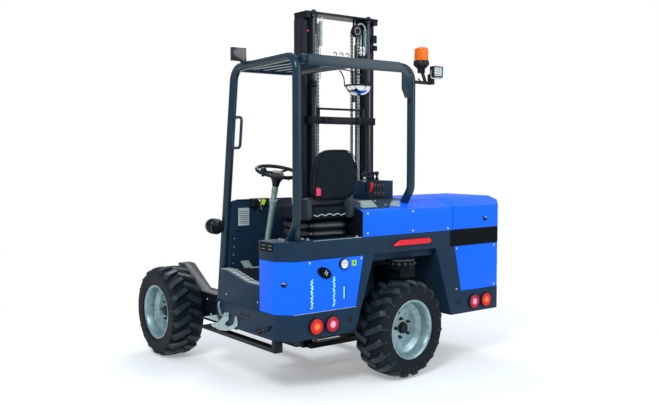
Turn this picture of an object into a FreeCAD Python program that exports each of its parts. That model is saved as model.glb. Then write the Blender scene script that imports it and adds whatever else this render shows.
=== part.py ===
"""Truck-mounted forklift with three wheels, as a parametric FreeCAD document.

X points forward, Y to the left and Z up, in millimetres. The sizes below measure X from the
steering axis of the rear wheel; the last step slides everything along X, so that the origin ends
up on the ground under the middle of the machine.
"""
import FreeCAD, Part
import Sketcher
import math
import os
import re
from FreeCAD import Rotation, Vector

# ---------------------------------------------------------------- driving dimensions
SIZES = {
    # wheels
    "wheelbase": 1548, "track_out": 146, "steer_turn": 5.5,
    "tyre_dia": 690, "tyre_width": 258, "tyre_bead_dia": 388, "tyre_bead_width": 230, "bead_rise": 16,
    "sidewall_rise": 54, "shoulder_dia": 588, "crown_width": 206, "lug_depth": 27, "tyre_facets": 30,
    "lug_count": 20, "lug_wall": 42, "lug_skew": 27, "lug_start": -6, "lug_bevel": 16, "lug_sink": 8,
    "rim_flange_dia": 416, "rim_wall": 6, "rim_dish": 95, "bead_seat": 0.3, "hub_dia": 84, "hub_length": 24,
    "hub_motor_dia": 230, "hub_motor_length": 96, "hub_motor_bevel": 30, "hub_gap": 0.3,
    # steering yoke
    "yoke_gap": 16, "yoke_wall": 36, "yoke_width": 150, "yoke_bridge": 59, "yoke_arm_drop": 90,
    "yoke_neck_dia": 210, "turntable_dia": 210, "turntable_high": 73, "turn_gap": 0.3,
    # chassis
    "body_half_width": 1040, "rear_x": -65, "corner_cut": 90, "frame_front_x": 700,
    "sill_low": 384, "sill_high": 550, "nose_x": 930, "nose_in": 100, "nose_end_x": 1010,
    "plate_wall": 8, "sheet_wall": 4, "seam": 2, "overcut": 20, "run_gap": 0.3,
    "arch_top_half": 290, "arch_low_half": 452, "arch_front_x": 430, "arch_post": 40,
    "mast_bay_half": 395, "mast_bay_x": 585, "seat_box_x": 200,
    "steer_plate": 52, "belt_depth": 120,
    "panel_in_left": 380, "panel_in_left_low": 446, "panel_in_right": 482, "panel_in_right_low": 554,
    # hood
    "hood_left_inset": 650, "hood_cover_width": 580, "hood_front_x": 570, "hood_face_rise": 170,
    "hood_rise": 227,
    "hood_split_gap": 3, "lid_rest": 0.3, "hood_bevel_x": 112, "hinge_dia": 14, "hinge_pin_dia": 8,
    "hinge_knuckle": 34, "hinge_leaf": 36, "hinge_inset": 70,
    "power_unit_gap": 40, "power_unit_rear": 110, "power_unit_side": 120, "power_unit_in": 60,
    # footwell
    "floor_low": 722, "floor_high": 772, "ramp_x": 350, "ramp_end_x": 600, "floor_bearer": 30,
    "bulkhead_top": 1240, "bulkhead_clear": 88, "bulkhead_wall": 14,
    "bulkhead_lap": 16, "pedal_inset": 432, "pedal_gap": 92, "pedal_width": 62, "pedal_wall": 10,
    "pedal_length": 104, "pedal_stem": 30, "pedal_x": 590,
    # overhead guard
    "post_dia": 58, "post_inset": 160, "right_post_y": -100, "guard_top": 2214, "guard_drop": 22,
    "guard_front_x": 755, "guard_bend": 95, "post_foot_inset": 40, "foot_lean": 66, "foot_rise": 140,
    "right_foot_rise": 96, "foot_gusset": 92, "foot_gusset_wall": 10, "roof_right_inset": 635, "roof_bar": 34,
    "roof_bar_wall": 22, "roof_bars": 4, "beam_drop": 22, "beam_depth": 70, "beam_wall": 12, "beam_cut": 86,
    "beam_inset": 60, "gusset_drop": 172, "gusset_width": 94, "gusset_taper": 62, "gusset_wall": 8,
    "handle_low": 1605, "handle_high": 1817, "handle_reach": 105, "handle_dia": 20, "handle_bend": 28,
    # seat and controls
    "seat_inset": 446, "seat_width": 396, "seat_back_x": 40, "seat_depth": 370, "bellows_rise": 110,
    "bellows_inset": 30, "bellows_setback": 20, "bellows_depth": 350, "cushion_rise": 120, "back_rise": 365,
    "seat_back_wall": 62, "seat_back_lean": 40, "seat_back_foot": 20, "seat_back_left": 57,
    "seat_back_right": 59, "seat_back_taper": 60, "seat_back_shoulder": 130,
    "column_foot_x": 672, "column_inset": 340, "column_head_x": 501, "column_head": 1397,
    "column_dia": 42, "steering_wheel_dia": 316, "steering_rim": 26, "steering_boss": 68,
    "steering_boss_rise": 45, "spoke_dia": 18, "spoke_sink": 10,
    "console_x": 222, "console_depth": 180, "console_y": 100, "console_width": 231, "console_rise": 133,
    "lever_dia": 12, "lever_high": 62, "lever_pitch": 36, "lever_rows": 4, "lever_knob": 26,
    "lever_inset": 46,
    # legs
    "leg_inset": 180, "leg_width": 148, "leg_low": 300, "leg_top": 512, "leg_front_x": 1690,
    "leg_drop_run": 90, "bracket_high": 692, "bracket_x": 1600, "bracket_low_x": 1310, "bracket_width": 100,
    "rail_low": 372, "rail_high": 468, "rail_depth": 52, "rail_end_x": 1600,
    # reach carriage and mast
    "reach_gap": 6, "reach_wall": 14, "roller_dia": 88, "roller_first": 52, "roller_pitch": 146,
    "roller_inset": 6, "reach_low": 300, "reach_high": 400, "reach_side_low": 340, "reach_side_high": 490,
    "reach_length": 250, "reach_bar_x": 600, "reach_bar_wall": 25, "reach_arm": 44, "cheek_wall": 14,
    "cheek_rise": 10, "cheek_setback": 12, "bay_gap": 30,
    "pivot_x": 745, "pivot_z": 330, "pivot_dia": 44, "pivot_gap": 0.2, "pivot_play": 2,
    "mast_half_width": 342, "mast_rear_x": 690, "mast_front_x": 800, "channel_wall": 12,
    "channel_depth": 52, "mast_low": 112, "outer_top": 2556, "inner_top": 2606, "mast_lift": 20,
    "mast_gap": 6, "inner_beam": 44, "inner_wall": 10, "inner_play": 5, "mast_roller_low": 90,
    "mast_roller_drop": 420, "trough_end": 60, "cross_depth": 58, "cross_bar": 54, "cross_inset": 30,
    "mid_cross_z": 1787, "knee_cross_z": 660, "slim_cross_z": 1893, "slim_cross_bar": 16, "slim_depth": 18,
    "slim_post": 30, "foot_bar": 40, "top_plate": 16, "top_plate_rear_x": 640, "mast_shoe": 30,
    "mast_shoe_wall": 20, "mast_shoe_inset": 70,
    "barrel_y": 262, "barrel_x": 661, "barrel_dia": 44, "barrel_top": 2100, "barrel_floor": 20,
    "rod_dia": 30, "rod_clear": 1, "chain_y": 196, "chain_width": 24, "chain_wall": 12, "chain_x": 702,
    "pulley_dia": 80, "pulley_drop": 106, "pulley_hanger": 30, "chain_low": 610, "chain_step": 10,
    # forks
    "fork_carriage_x": 806, "carriage_half": 480, "carriage_wall": 36, "carriage_low": 150,
    "carriage_high": 610, "carriage_bar": 90, "upright_y": 150, "upright_width": 80, "carriage_arm": 12,
    "carriage_arm_gap": 8, "carriage_arm_low": 172, "carriage_roller_step": 70, "roller_web": 9,
    "fork_y": 250, "fork_width": 100, "fork_wall": 40, "fork_low": 80, "fork_length": 1150,
    "fork_shank": 520, "fork_tip": 14, "fork_nose": 8, "fork_nose_run": 30,
    # tilt cylinders
    "tilt_y": 318, "tilt_dia": 44, "tilt_rod_dia": 22, "tilt_base_x": 612, "tilt_base_z": 432,
    "tilt_eye_x": 640, "tilt_eye_z": 630, "tilt_pin_dia": 20, "tilt_eye_width": 22, "tilt_eye_wall": 8,
    "tilt_ear": 8, "ear_gap": 1, "ear_over": 16, "ear_fore": 26, "ear_aft": 12, "tilt_neck": 26,
    "tilt_barrel": 124, "tilt_rod_start": 50, "pin_gap": 0.1,
    "eye_play": 0.8,
    # step, hook, lamps and fittings
    "step_inset": 45, "step_width": 60, "step_low": 300, "step_wall": 28, "step_leg": 40,
    "step_rear_x": 40, "step_front_x": 985, "latch_x": 60, "latch_length": 190, "latch_z": 424,
    "latch_dia": 22, "latch_plate": 54, "latch_plate_wall": 12, "hook_x": 505, "hook_length": 165,
    "hook_z": 400, "hook_high": 84, "hook_wall": 14, "hook_bar": 26, "hook_prong": 22,
    "lamp_z": 462, "lamp_dia": 92, "lamp_wall": 16, "lamp_pitch": 130, "lamp_left_inset": 257,
    "lamp_right_inset": 223, "belt_lamp_y": -50, "belt_lamp_width": 380, "belt_lamp_bar": 42,
    "belt_lamp_drop": 58,
    "beacon_x": 45, "beacon_y": -238, "beacon_z": 2140, "beacon_dia": 84, "beacon_high": 100,
    "beacon_round": 12,
    "beacon_foot_dia": 112, "beacon_foot": 26, "beacon_waist_dia": 54, "beacon_waist": 56,
    "beacon_arm_dia": 24,
    "beacon_arm_bend": 26, "beacon_arm_drop": 72,
    "work_lamp_wide": 92, "work_lamp_high": 76, "work_lamp_wall": 34, "rear_lamp_x": -70, "rear_lamp_y": -292,
    "rear_lamp_z": 2106, "front_lamp_x": 640, "front_lamp_lift": 6, "front_lamp_wide": 110,
    "front_lamp_high": 92, "side_lamp_x": 812, "side_lamp_z": 1060, "side_lamp_dia": 104,
    "side_lamp_wall": 86,
    "mirror_x": 330, "mirror_y": 135, "mirror_z": 2036, "mirror_dia": 232, "mirror_deep": 78,
    "mirror_wall": 4,
    "mirror_arm_dia": 12,
    "origin_x": 0,
}

# places that follow from the driving dimensions
PLACES = {
    "axle_z": "tyre_dia / 2",
    "yoke_high": "tyre_dia + yoke_gap + yoke_bridge",
    "steer_plate_low": "yoke_high + turntable_high",
    "belt_low": "steer_plate_low + steer_plate",
    "belt_high": "belt_low + belt_depth",
    "hood_face_high": "belt_high + hood_face_rise",
    "hood_top": "belt_high + hood_rise",
    "bellows_high": "belt_high + bellows_rise",
    "cushion_high": "bellows_high + cushion_rise",
    "seat_back_top": "cushion_high + back_rise",
    "leg_outer_y": "body_half_width - leg_inset",
    "leg_inner_y": "leg_outer_y - leg_width",
    "wheel_track_half": "leg_outer_y + track_out",
    "hood_left_y": "body_half_width - hood_left_inset",
    "hood_split_y": "hood_cover_width - body_half_width",
    "bulkhead_in_y": "mast_half_width + bulkhead_clear",
    "pedal_y": "body_half_width - pedal_inset",
    "roof_right_y": "body_half_width - roof_right_inset",
    "seat_y": "body_half_width - seat_inset",
    "post_y": "body_half_width - post_inset",
    "post_foot_y": "body_half_width - post_foot_inset",
    "column_y": "body_half_width - column_inset",
    "step_y": "body_half_width - step_inset",
    "arch_slope": "(arch_low_half - arch_top_half) / (belt_low - sill_low)",
    "arch_sill_half": "arch_low_half - arch_slope * (sill_high - sill_low)",
    "footwell_in": "arch_sill_half + plate_wall",
    "guard_line": "guard_top - post_dia / 2",
    "beam_top": "guard_top - beam_drop",
    "guard_front_line": "guard_line - guard_drop",
    "bead_half": "tyre_bead_width / 2 + bead_seat",
    "disc_y": "bead_half + rim_wall - rim_dish",
    "motor_front": "disc_y - rim_wall - hub_gap",
    "motor_back": "motor_front - hub_motor_length",
    "hinge_x": "hood_front_x + hinge_dia / 2",
    "hinge_z": "belt_high + hinge_dia / 2",
    "inner_web": "mast_half_width - channel_depth - mast_gap",
    "inner_tip": "inner_web - inner_beam",
    "reach_wide": "leg_inner_y - reach_gap",
    "fork_face": "fork_carriage_x + carriage_wall",
    "mast_middle": "(mast_rear_x + mast_front_x) / 2",
    "pulley_z": "inner_top - pulley_drop",
}

doc = FreeCAD.newDocument("truck_mounted_forklift")


def add_sheet(name, rows):
    """A spreadsheet with one named row for each size."""
    cells = doc.addObject("Spreadsheet::Sheet", name)
    for row, (alias, value) in enumerate(rows.items(), start=1):
        cells.set(f"A{row}", alias)
        cells.set(f"B{row}", str(value))
        cells.setAlias(f"B{row}", alias)
    doc.recompute()
    return cells


ALIAS = re.compile(r"[a-z][a-z_]*[a-z]")


def linked(expression):
    """The expression with the right sheet's name in front of every alias."""
    def owner(match):
        word = match.group(0)
        sheet_name = "Dim" if word in SIZES else "Place" if word in PLACES else ""
        return f"{sheet_name}.{word}" if sheet_name else word
    return ALIAS.sub(owner, str(expression))


def place_formula(expression):
    """A cell formula on the second sheet, where its own aliases need no sheet name."""
    return "=" + ALIAS.sub(lambda m: f"Dim.{m.group(0)}" if m.group(0) in SIZES else m.group(0), expression)


sheet = add_sheet("Dim", SIZES)
places = add_sheet("Place", {alias: place_formula(formula) for alias, formula in PLACES.items()})
NODES = []


# ---------------------------------------------------------------- helpers
def size(alias):
    """The present value of one named size or place."""
    return float((sheet if alias in SIZES else places).get(alias))


def point(*aliases):
    """A point whose three coordinates are named values or numbers."""
    return Vector(*(size(alias) if isinstance(alias, str) else alias for alias in aliases))


def bind(thing, **paths):
    """Binds properties to expressions; two underscores in a name stand for a dot."""
    for path, expression in paths.items():
        thing.setExpression(path.replace("__", "."), linked(expression))
    return thing


def block(name, xs, ys, zs):
    """A box between two limits on each axis."""
    box = doc.addObject("Part::Box", name)
    (xa, xb), (ya, yb), (za, zb) = xs, ys, zs
    bind(box, Length=f"({xb}) - ({xa})", Width=f"({yb}) - ({ya})", Height=f"({zb}) - ({za})")
    return bind(box, Placement__Base__x=xa, Placement__Base__y=ya, Placement__Base__z=za)


TURNS = {"X": (Vector(0, 1, 0), 90), "Y": (Vector(1, 0, 0), -90), "Z": (Vector(0, 0, 1), 0)}


def rod(name, axis, start, length, diameter):
    """A cylinder from its start point along +X, +Y or +Z."""
    bar = doc.addObject("Part::Cylinder", name)
    bar.Placement.Rotation = Rotation(*TURNS[axis])
    bind(bar, Radius=f"({diameter}) / 2", Height=length)
    return bind(bar, Placement__Base__x=start[0], Placement__Base__y=start[1], Placement__Base__z=start[2])


PLANES = {"XY": ("XY_Plane", "{start}"), "XZ": ("XZ_Plane", "-({end})"), "YZ": ("YZ_Plane", "{start}")}


def origin_plane(body, role):
    """One of a body's own origin planes."""
    return next(f for f in body.Origin.OriginFeatures if f.Role == role)


def outline_sketch(body, name, plane, offset, outline):
    """A closed polygon whose corners are bound to expressions."""
    sketch = body.newObject("Sketcher::SketchObject", name)
    sketch.AttachmentSupport = [(origin_plane(body, plane), "")]
    sketch.MapMode = "FlatFace"
    bind(sketch, AttachmentOffset__Base__z=offset)
    count = len(outline)
    guess = [Vector(index, index * index * 0.1, 0) for index in range(count)]
    for index in range(count):
        sketch.addGeometry(Part.LineSegment(guess[index], guess[(index + 1) % count]), False)
    for index in range(count):
        sketch.addConstraint(Sketcher.Constraint("Coincident", index, 2, (index + 1) % count, 1))
    for index, (across, up) in enumerate(outline):
        for kind, expression, value in (("DistanceX", across, guess[index].x),
                                        ("DistanceY", up, guess[index].y)):
            number = sketch.addConstraint(Sketcher.Constraint(kind, -1, 1, index, 1, value))
            sketch.setExpression(f"Constraints[{number}]", linked(expression))
    return sketch


def prism(name, plane, outline, start, end):
    """A body padded from a polygon on a plane, between two distances along the plane's normal."""
    body = doc.addObject("PartDesign::Body", name)
    role, offset = PLANES[plane]
    sketch = outline_sketch(body, name + "_outline", role, offset.format(start=start, end=end), outline)
    pad = body.newObject("PartDesign::Pad", name + "_pad")
    pad.Profile = sketch
    bind(pad, Length=f"({end}) - ({start})")
    sketch.Visibility = False
    return body


LATHE_AXES = {"Y": ("YZ_Plane", "H_Axis"), "Z": ("XZ_Plane", "V_Axis")}


def lathe(name, outline, axis="Y"):
    """A body turned about Y from (y, radius) corners, or about Z from (radius, z) corners."""
    plane, line = LATHE_AXES[axis]
    body = doc.addObject("PartDesign::Body", name)
    sketch = outline_sketch(body, name + "_outline", plane, "0", outline)
    turn = body.newObject("PartDesign::Revolution", name + "_turn")
    turn.Profile = sketch
    turn.ReferenceAxis = (sketch, [line])
    turn.Angle = 360
    return body


def shape(name, solid):
    """A piece whose shape is worked out in code."""
    feature = doc.addObject("Part::Feature", name)
    feature.Shape = solid
    return feature


def fuse(name, *pieces):
    """One solid out of pieces that touch."""
    joined = doc.addObject("Part::MultiFuse", name)
    joined.Shapes = list(pieces)
    joined.Refine = True
    return joined


def cut(name, base, *tools):
    """The base with the tools taken away."""
    result = doc.addObject("Part::Cut", name)
    result.Base = base
    result.Tool = tools[0] if len(tools) == 1 else fuse(name + "_tools", *tools)
    result.Refine = True
    return result


def group(name, *pieces):
    """Pieces of one sub-part that don't touch."""
    several = doc.addObject("Part::Compound", name)
    several.Links = list(pieces)
    return several


def node(label, *pieces):
    """Makes the pieces one sub-part, which slides with the origin."""
    part = group(label + "_node", *pieces)
    part.Label = label
    bind(part, Placement__Base__x="origin_x")
    NODES.append(part)
    return part


def moved(part, turn=None, **base):
    """Places a piece, turned about Z by an expression in degrees."""
    bind(part, **{f"Placement__Base__{axis}": value for axis, value in base.items()})
    if turn is not None:
        part.Placement.Rotation = Rotation(Vector(0, 0, 1), 1)
        bind(part, Placement__Rotation__Angle=turn)
    return part


SIDES = ("left", "right")


def across(side, low, high):
    """A span in Y on the left, or its mirror on the right."""
    return (low, high) if side == "left" else (f"-({high})", f"-({low})")


def tube(name, points, bend, diameter):
    """A round tube along straight runs joined by arcs of one bend radius."""
    edges, last = [], points[0]
    for before, corner, after in zip(points, points[1:], points[2:]):
        into, out = (corner - before).normalize(), (after - corner).normalize()
        half = into.getAngle(out) / 2
        reach = bend * math.tan(half)
        start, finish = corner - into * reach, corner + out * reach
        middle = corner + (out - into).normalize() * (bend / math.cos(half) - bend)
        edges.append(Part.LineSegment(last, start).toShape())
        edges.append(Part.Arc(start, middle, finish).toShape())
        last = finish
    edges.append(Part.LineSegment(last, points[-1]).toShape())
    first_run = (points[1] - points[0]).normalize()
    ring = Part.Wire(Part.Circle(points[0], first_run, diameter / 2).toShape())
    return shape(name, Part.Wire(edges).makePipeShell([ring], True, False))


# ---------------------------------------------------------------- rear frame
def arch_half(height):
    """Half the wheel arch's width at a height."""
    return f"(arch_low_half - arch_slope * ({height} - sill_low))"


def rear_outline(left_front, right_front, inset="0"):
    """Plan of the rear body with its two cut corners, drawn in by an inset."""
    side = f"(body_half_width - {inset})"
    cut_back = f"(corner_cut - {inset} * tan(22.5))"
    back = f"(rear_x + {inset})"
    step = [] if left_front == right_front else [(left_front, "0"), (right_front, "0")]
    return [
        (back, f"{side} - {cut_back}"), (f"{back} + {cut_back}", side), (left_front, side), *step,
        (right_front, f"-{side}"), (f"{back} + {cut_back}", f"-{side}"), (back, f"-({side} - {cut_back})"),
    ]


def sill_nose(side):
    """The tapered end of the sill between the guard's front post and the leg."""
    sign = "" if side == "left" else "-"
    return prism(f"sill_nose_{side}", "XY", [
        ("frame_front_x", f"{sign}leg_outer_y"), ("frame_front_x", f"{sign}body_half_width"),
        ("nose_x", f"{sign}(body_half_width - nose_in)"), ("nose_end_x", f"{sign}leg_outer_y"),
    ], "sill_low", "sill_high")


def arch_side(side):
    """The post at the rear and the slanted wall beside the wheel arch."""
    sign = "" if side == "left" else "-"
    top, low = f"{sign}panel_in_{side}", f"{sign}panel_in_{side}_low"
    post = prism(f"arch_post_{side}", "YZ", [
        (f"{sign}arch_sill_half", "sill_high"), (low, "sill_high"),
        (top, "belt_low"), (f"{sign}arch_top_half", "belt_low"),
    ], "rear_x", "rear_x + arch_post")
    wall = prism(f"arch_wall_{side}", "YZ", [
        (f"{sign}arch_sill_half", "sill_high"), (f"{sign}(arch_sill_half + plate_wall)", "sill_high"),
        (f"{sign}(arch_top_half + plate_wall)", "belt_low"), (f"{sign}arch_top_half", "belt_low"),
    ], "rear_x + arch_post", "arch_front_x + plate_wall")
    return [post, wall]


def build_rear_frame():
    """Sill, arch walls, posts beside the arch and the cross walls."""
    sill = prism("sill_block", "XY", rear_outline("frame_front_x", "frame_front_x"), "sill_low", "sill_high")
    arch = prism("sill_arch", "YZ", [
        (f"-{arch_half('sill_low - overcut')}", "sill_low - overcut"),
        (arch_half("sill_low - overcut"), "sill_low - overcut"),
        (arch_half("sill_high + overcut"), "sill_high + overcut"),
        (f"-{arch_half('sill_high + overcut')}", "sill_high + overcut"),
    ], "rear_x - overcut", "arch_front_x")
    bay = block("sill_bay", ("mast_bay_x", "frame_front_x + overcut"), ("-mast_bay_half", "mast_bay_half"),
                ("sill_low - overcut", "sill_high + overcut"))
    pieces = [cut("sill", sill, arch, bay)]
    for side in SIDES:
        pieces += [*arch_side(side), sill_nose(side)]
    pieces.append(prism("arch_front", "YZ", [
        ("-arch_sill_half", "sill_high"), ("arch_sill_half", "sill_high"),
        ("arch_top_half", "belt_low"), ("-arch_top_half", "belt_low"),
    ], "arch_front_x", "arch_front_x + plate_wall"))
    pieces.append(block("steer_plate_block", ("rear_x + arch_post", "arch_front_x"),
                        ("-arch_top_half", "arch_top_half"), ("steer_plate_low", "belt_low")))
    pieces.append(block("seat_box_wall", ("seat_box_x - plate_wall", "seat_box_x"),
                        ("footwell_in", "body_half_width - sheet_wall - seam"), ("sill_high", "belt_low")))
    pieces.append(block("compartment_front", ("hood_front_x - plate_wall", "hood_front_x"),
                        ("-(body_half_width - seam - sheet_wall)", "footwell_in - seam"),
                        ("sill_high", "belt_low")))
    node("rear_frame", fuse("rear_frame_fuse", *pieces))


def hinge_spans():
    """Where the cover's two hinges start along Y."""
    return (("outer", "-body_half_width + hinge_inset"),
            ("inner", "hood_split_y - hinge_inset - 2 * hinge_knuckle - run_gap"))


def fixed_hinge(place, start):
    """One hinge's lower leaf, knuckle and pin, on the belt's front face."""
    leaf = block(f"hinge_leaf_{place}", ("hood_front_x", "hinge_x"), (start, f"{start} + hinge_knuckle"),
                 ("belt_high - hinge_leaf", "hinge_z"))
    knuckle = rod(f"hinge_knuckle_{place}", "Y", ("hinge_x", start, "hinge_z"), "hinge_knuckle", "hinge_dia")
    pin = rod(f"hinge_pin_{place}", "Y", ("hinge_x", start, "hinge_z"), "2 * hinge_knuckle + run_gap",
              "hinge_pin_dia")
    return [leaf, knuckle, pin]


def build_belt():
    """The dark band round the body, with the deck that closes it above and the cover's hinges."""
    plan = rear_outline("seat_box_x", "hood_front_x")
    outer = prism("belt_outer", "XY", plan, "belt_low", "belt_high")
    inner = prism("belt_inner", "XY", [
        ("rear_x + plate_wall", "body_half_width - corner_cut"),
        ("rear_x + corner_cut", "body_half_width - plate_wall"),
        ("seat_box_x - plate_wall", "body_half_width - plate_wall"),
        ("seat_box_x - plate_wall", "-plate_wall"),
        ("hood_front_x - plate_wall", "-plate_wall"),
        ("hood_front_x - plate_wall", "-body_half_width + plate_wall"),
        ("rear_x + corner_cut", "-body_half_width + plate_wall"),
        ("rear_x + plate_wall", "-body_half_width + corner_cut"),
    ], "belt_low - overcut", "belt_high - plate_wall")
    hinges = [piece for place, start in hinge_spans() for piece in fixed_hinge(place, start)]
    node("belt", fuse("belt_fuse", cut("belt_shell", outer, inner), *hinges))


def build_lower_panels():
    """The blue sheets that close the boxes on both sides of the wheel arch."""
    wall = "(seam + sheet_wall)"
    for side, sign, front in (("left", "", "seat_box_x"), ("right", "-", "hood_front_x")):
        top, low = f"{sign}(panel_in_{side} + seam)", f"{sign}(panel_in_{side}_low + seam)"
        past = f"{sign}(panel_in_{side} - overcut - seam)"
        outer = prism(f"panel_{side}_outer", "XY", [
            ("rear_x + seam", top), ("rear_x + seam", f"{sign}(body_half_width - corner_cut)"),
            ("rear_x + corner_cut", f"{sign}(body_half_width - seam)"),
            (front, f"{sign}(body_half_width - seam)"), (front, top),
        ], "sill_high + seam", "belt_low - seam")
        inner = prism(f"panel_{side}_inner", "XY", [
            (f"rear_x + {wall}", past), (f"rear_x + {wall}", f"{sign}(body_half_width - corner_cut - seam)"),
            ("rear_x + corner_cut + seam", f"{sign}(body_half_width - {wall})"),
            (f"{front} + overcut", f"{sign}(body_half_width - {wall})"), (f"{front} + overcut", past),
        ], "sill_high - overcut", "belt_low + overcut")
        trim = prism(f"panel_{side}_trim", "YZ", [
            (past, "belt_low + overcut"), (top, "belt_low + overcut"), (top, "belt_low"), (low, "sill_high"),
            (past, "sill_high"),
        ], "rear_x - overcut", "rear_x + arch_post")
        node(f"panel_{side}", cut(f"panel_{side}_sheet", outer, inner, trim))


# ---------------------------------------------------------------- hood
def hood_side_view(seat):
    """Upright rear face, bevel and flat top of the hood."""
    return [("rear_x", seat), ("rear_x", "hood_face_high"), ("hood_bevel_x", "hood_top"),
            ("hood_front_x", "hood_top"), ("hood_front_x", seat)]


def hood_shell(name, low_y, high_y, seat):
    """A hood section, open below, as its outside and its inside."""
    outer = prism(name + "_outer", "XZ", hood_side_view(seat), low_y, high_y)
    inner = prism(name + "_inner", "XZ", [
        ("rear_x + sheet_wall", "belt_high - overcut"),
        ("rear_x + sheet_wall", "hood_face_high - sheet_wall"),
        ("hood_bevel_x", "hood_top - sheet_wall"), ("hood_front_x - sheet_wall", "hood_top - sheet_wall"),
        ("hood_front_x - sheet_wall", "belt_high - overcut"),
    ], f"{low_y} + sheet_wall", f"{high_y} - sheet_wall")
    return outer, inner


def moving_hinge(place, start):
    """One hinge's upper leaf and knuckle on the cover, with the bore for the pin."""
    near = f"{start} + hinge_knuckle + run_gap"
    leaf = block(f"cover_leaf_{place}", ("hood_front_x", "hinge_x"), (near, f"{near} + hinge_knuckle"),
                 ("hinge_z", "hinge_z + hinge_leaf"))
    knuckle = rod(f"cover_knuckle_{place}", "Y", ("hinge_x", near, "hinge_z"), "hinge_knuckle", "hinge_dia")
    bore = rod(f"cover_bore_{place}", "Y", ("hinge_x", start, "hinge_z"), "3 * hinge_knuckle",
               "hinge_pin_dia + 2 * pivot_gap")
    return [leaf, knuckle], bore


def build_hood():
    """The fixed hood section by the seat and the hinged cover of the power unit."""
    outer, inner = hood_shell("hood_fixed", "hood_split_y + hood_split_gap", "hood_left_y", "belt_high")
    node("hood_fixed", cut("hood_fixed_shell", outer, inner))
    outer, inner = hood_shell("hood_cover", "-body_half_width", "hood_split_y - hood_split_gap",
                              "belt_high + lid_rest")
    corner = prism("hood_corner", "XY", [
        ("rear_x - overcut", "-body_half_width + corner_cut - overcut"),
        ("rear_x - overcut", "-body_half_width - overcut"),
        ("rear_x + corner_cut - overcut", "-body_half_width - overcut"),
        ("rear_x + corner_cut", "-body_half_width"),
        ("rear_x", "-body_half_width + corner_cut"),
    ], "belt_high", "hood_top + overcut")
    hinges = [moving_hinge(place, start) for place, start in hinge_spans()]
    leaves = [piece for pieces, bore in hinges for piece in pieces]
    bores = [bore for pieces, bore in hinges]
    shell = cut("hood_cover_shell", outer, inner, corner)
    node("hood_cover", cut("hood_cover_hinged", fuse("hood_cover_fuse", shell, *leaves), *bores))


def build_power_unit():
    """The engine block, at its place and size, as one plain mass."""
    node("power_unit", block(
        "power_block", ("rear_x + power_unit_rear", "hood_front_x - power_unit_gap"),
        ("-body_half_width + power_unit_side", "-panel_in_right - power_unit_in"),
        ("sill_high", "belt_low - power_unit_gap")))


# ---------------------------------------------------------------- footwell
def floor_line(drop):
    """Side view of the floor's upper or lower face, front to rear, with its ramp for the feet."""
    return [("frame_front_x", f"floor_high - {drop}"), ("ramp_end_x", f"floor_high - {drop}"),
            ("ramp_x", f"floor_low - {drop}"), ("seat_box_x", f"floor_low - {drop}")]


def build_footwell():
    """Side panel, inner wall, bearer and the ramped floor."""
    side = prism("side_panel", "XZ", [
        ("seat_box_x", "sill_high"), ("frame_front_x", "sill_high"), *floor_line("plate_wall"),
    ], "body_half_width - plate_wall", "body_half_width")
    inner = block("inner_wall", ("seat_box_x", "frame_front_x"),
                  ("footwell_in", "footwell_in + plate_wall"), ("sill_high", "belt_high"))
    bearer = prism("floor_bearer_sheet", "XZ", [
        *floor_line("plate_wall"), *reversed(floor_line("plate_wall - floor_bearer")),
    ], "footwell_in + plate_wall", "body_half_width")
    node("footwell", fuse("footwell_fuse", side, inner, bearer))
    node("tread_floor", prism("tread", "XZ", [*floor_line("0"), *reversed(floor_line("plate_wall"))],
                              "footwell_in + plate_wall", "body_half_width"))


def build_bulkhead():
    """The wall in front of the feet, whose outer edge follows the guard's leaning post."""
    lean = "(post_foot_y - post_y) / (guard_front_line - sill_high)"
    top_out = f"post_y + (guard_front_line - bulkhead_top) * {lean} - bulkhead_lap"
    node("bulkhead", prism("dash_wall", "YZ", [
        ("bulkhead_in_y", "sill_high"), ("post_foot_y - bulkhead_lap", "sill_high"),
        (top_out, "bulkhead_top"), ("bulkhead_in_y", "bulkhead_top"),
    ], "frame_front_x", "frame_front_x + bulkhead_wall"))


def build_pedals():
    """Two pedals on the ramp, each a tread plate on a short stem."""
    pedals = []
    for name, shift in (("brake", "0"), ("drive", "pedal_gap")):
        low, high = f"pedal_y - {shift} - pedal_width / 2", f"pedal_y - {shift} + pedal_width / 2"
        plate = prism(f"{name}_plate", "XZ", [
            ("pedal_x", "floor_high + pedal_stem"), ("pedal_x + pedal_length",
                                                     "floor_high + 2 * pedal_stem + pedal_wall"),
            ("pedal_x + pedal_length - pedal_wall", "floor_high + 2 * pedal_stem + 2 * pedal_wall"),
            ("pedal_x", "floor_high + pedal_stem + pedal_wall"),
        ], low, high)
        stem = block(f"{name}_stem", ("pedal_x + pedal_wall", "pedal_x + 2 * pedal_wall"),
                     (f"{low} + 2 * pedal_wall", f"{high} - 2 * pedal_wall"),
                     ("floor_high", "floor_high + pedal_stem + pedal_wall"))
        pedals.append(fuse(f"{name}_pedal", plate, stem))
    node("pedals", group("pedal_pair", *pedals))


# ---------------------------------------------------------------- overhead guard
def foot_points(y, foot_z, rise, head_z):
    """The lower part of a rear post: a foot that leans forward, then the upright."""
    lean = size("foot_lean")
    return [Vector(lean, y, foot_z), Vector(0, y, foot_z + rise), Vector(0, y, head_z)]


def foot_below(points, depth):
    """The points with the first run lengthened down through what the foot stands on."""
    first, second = points[:2]
    return [first + (first - second).normalize() * depth, *points[1:]]


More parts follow.
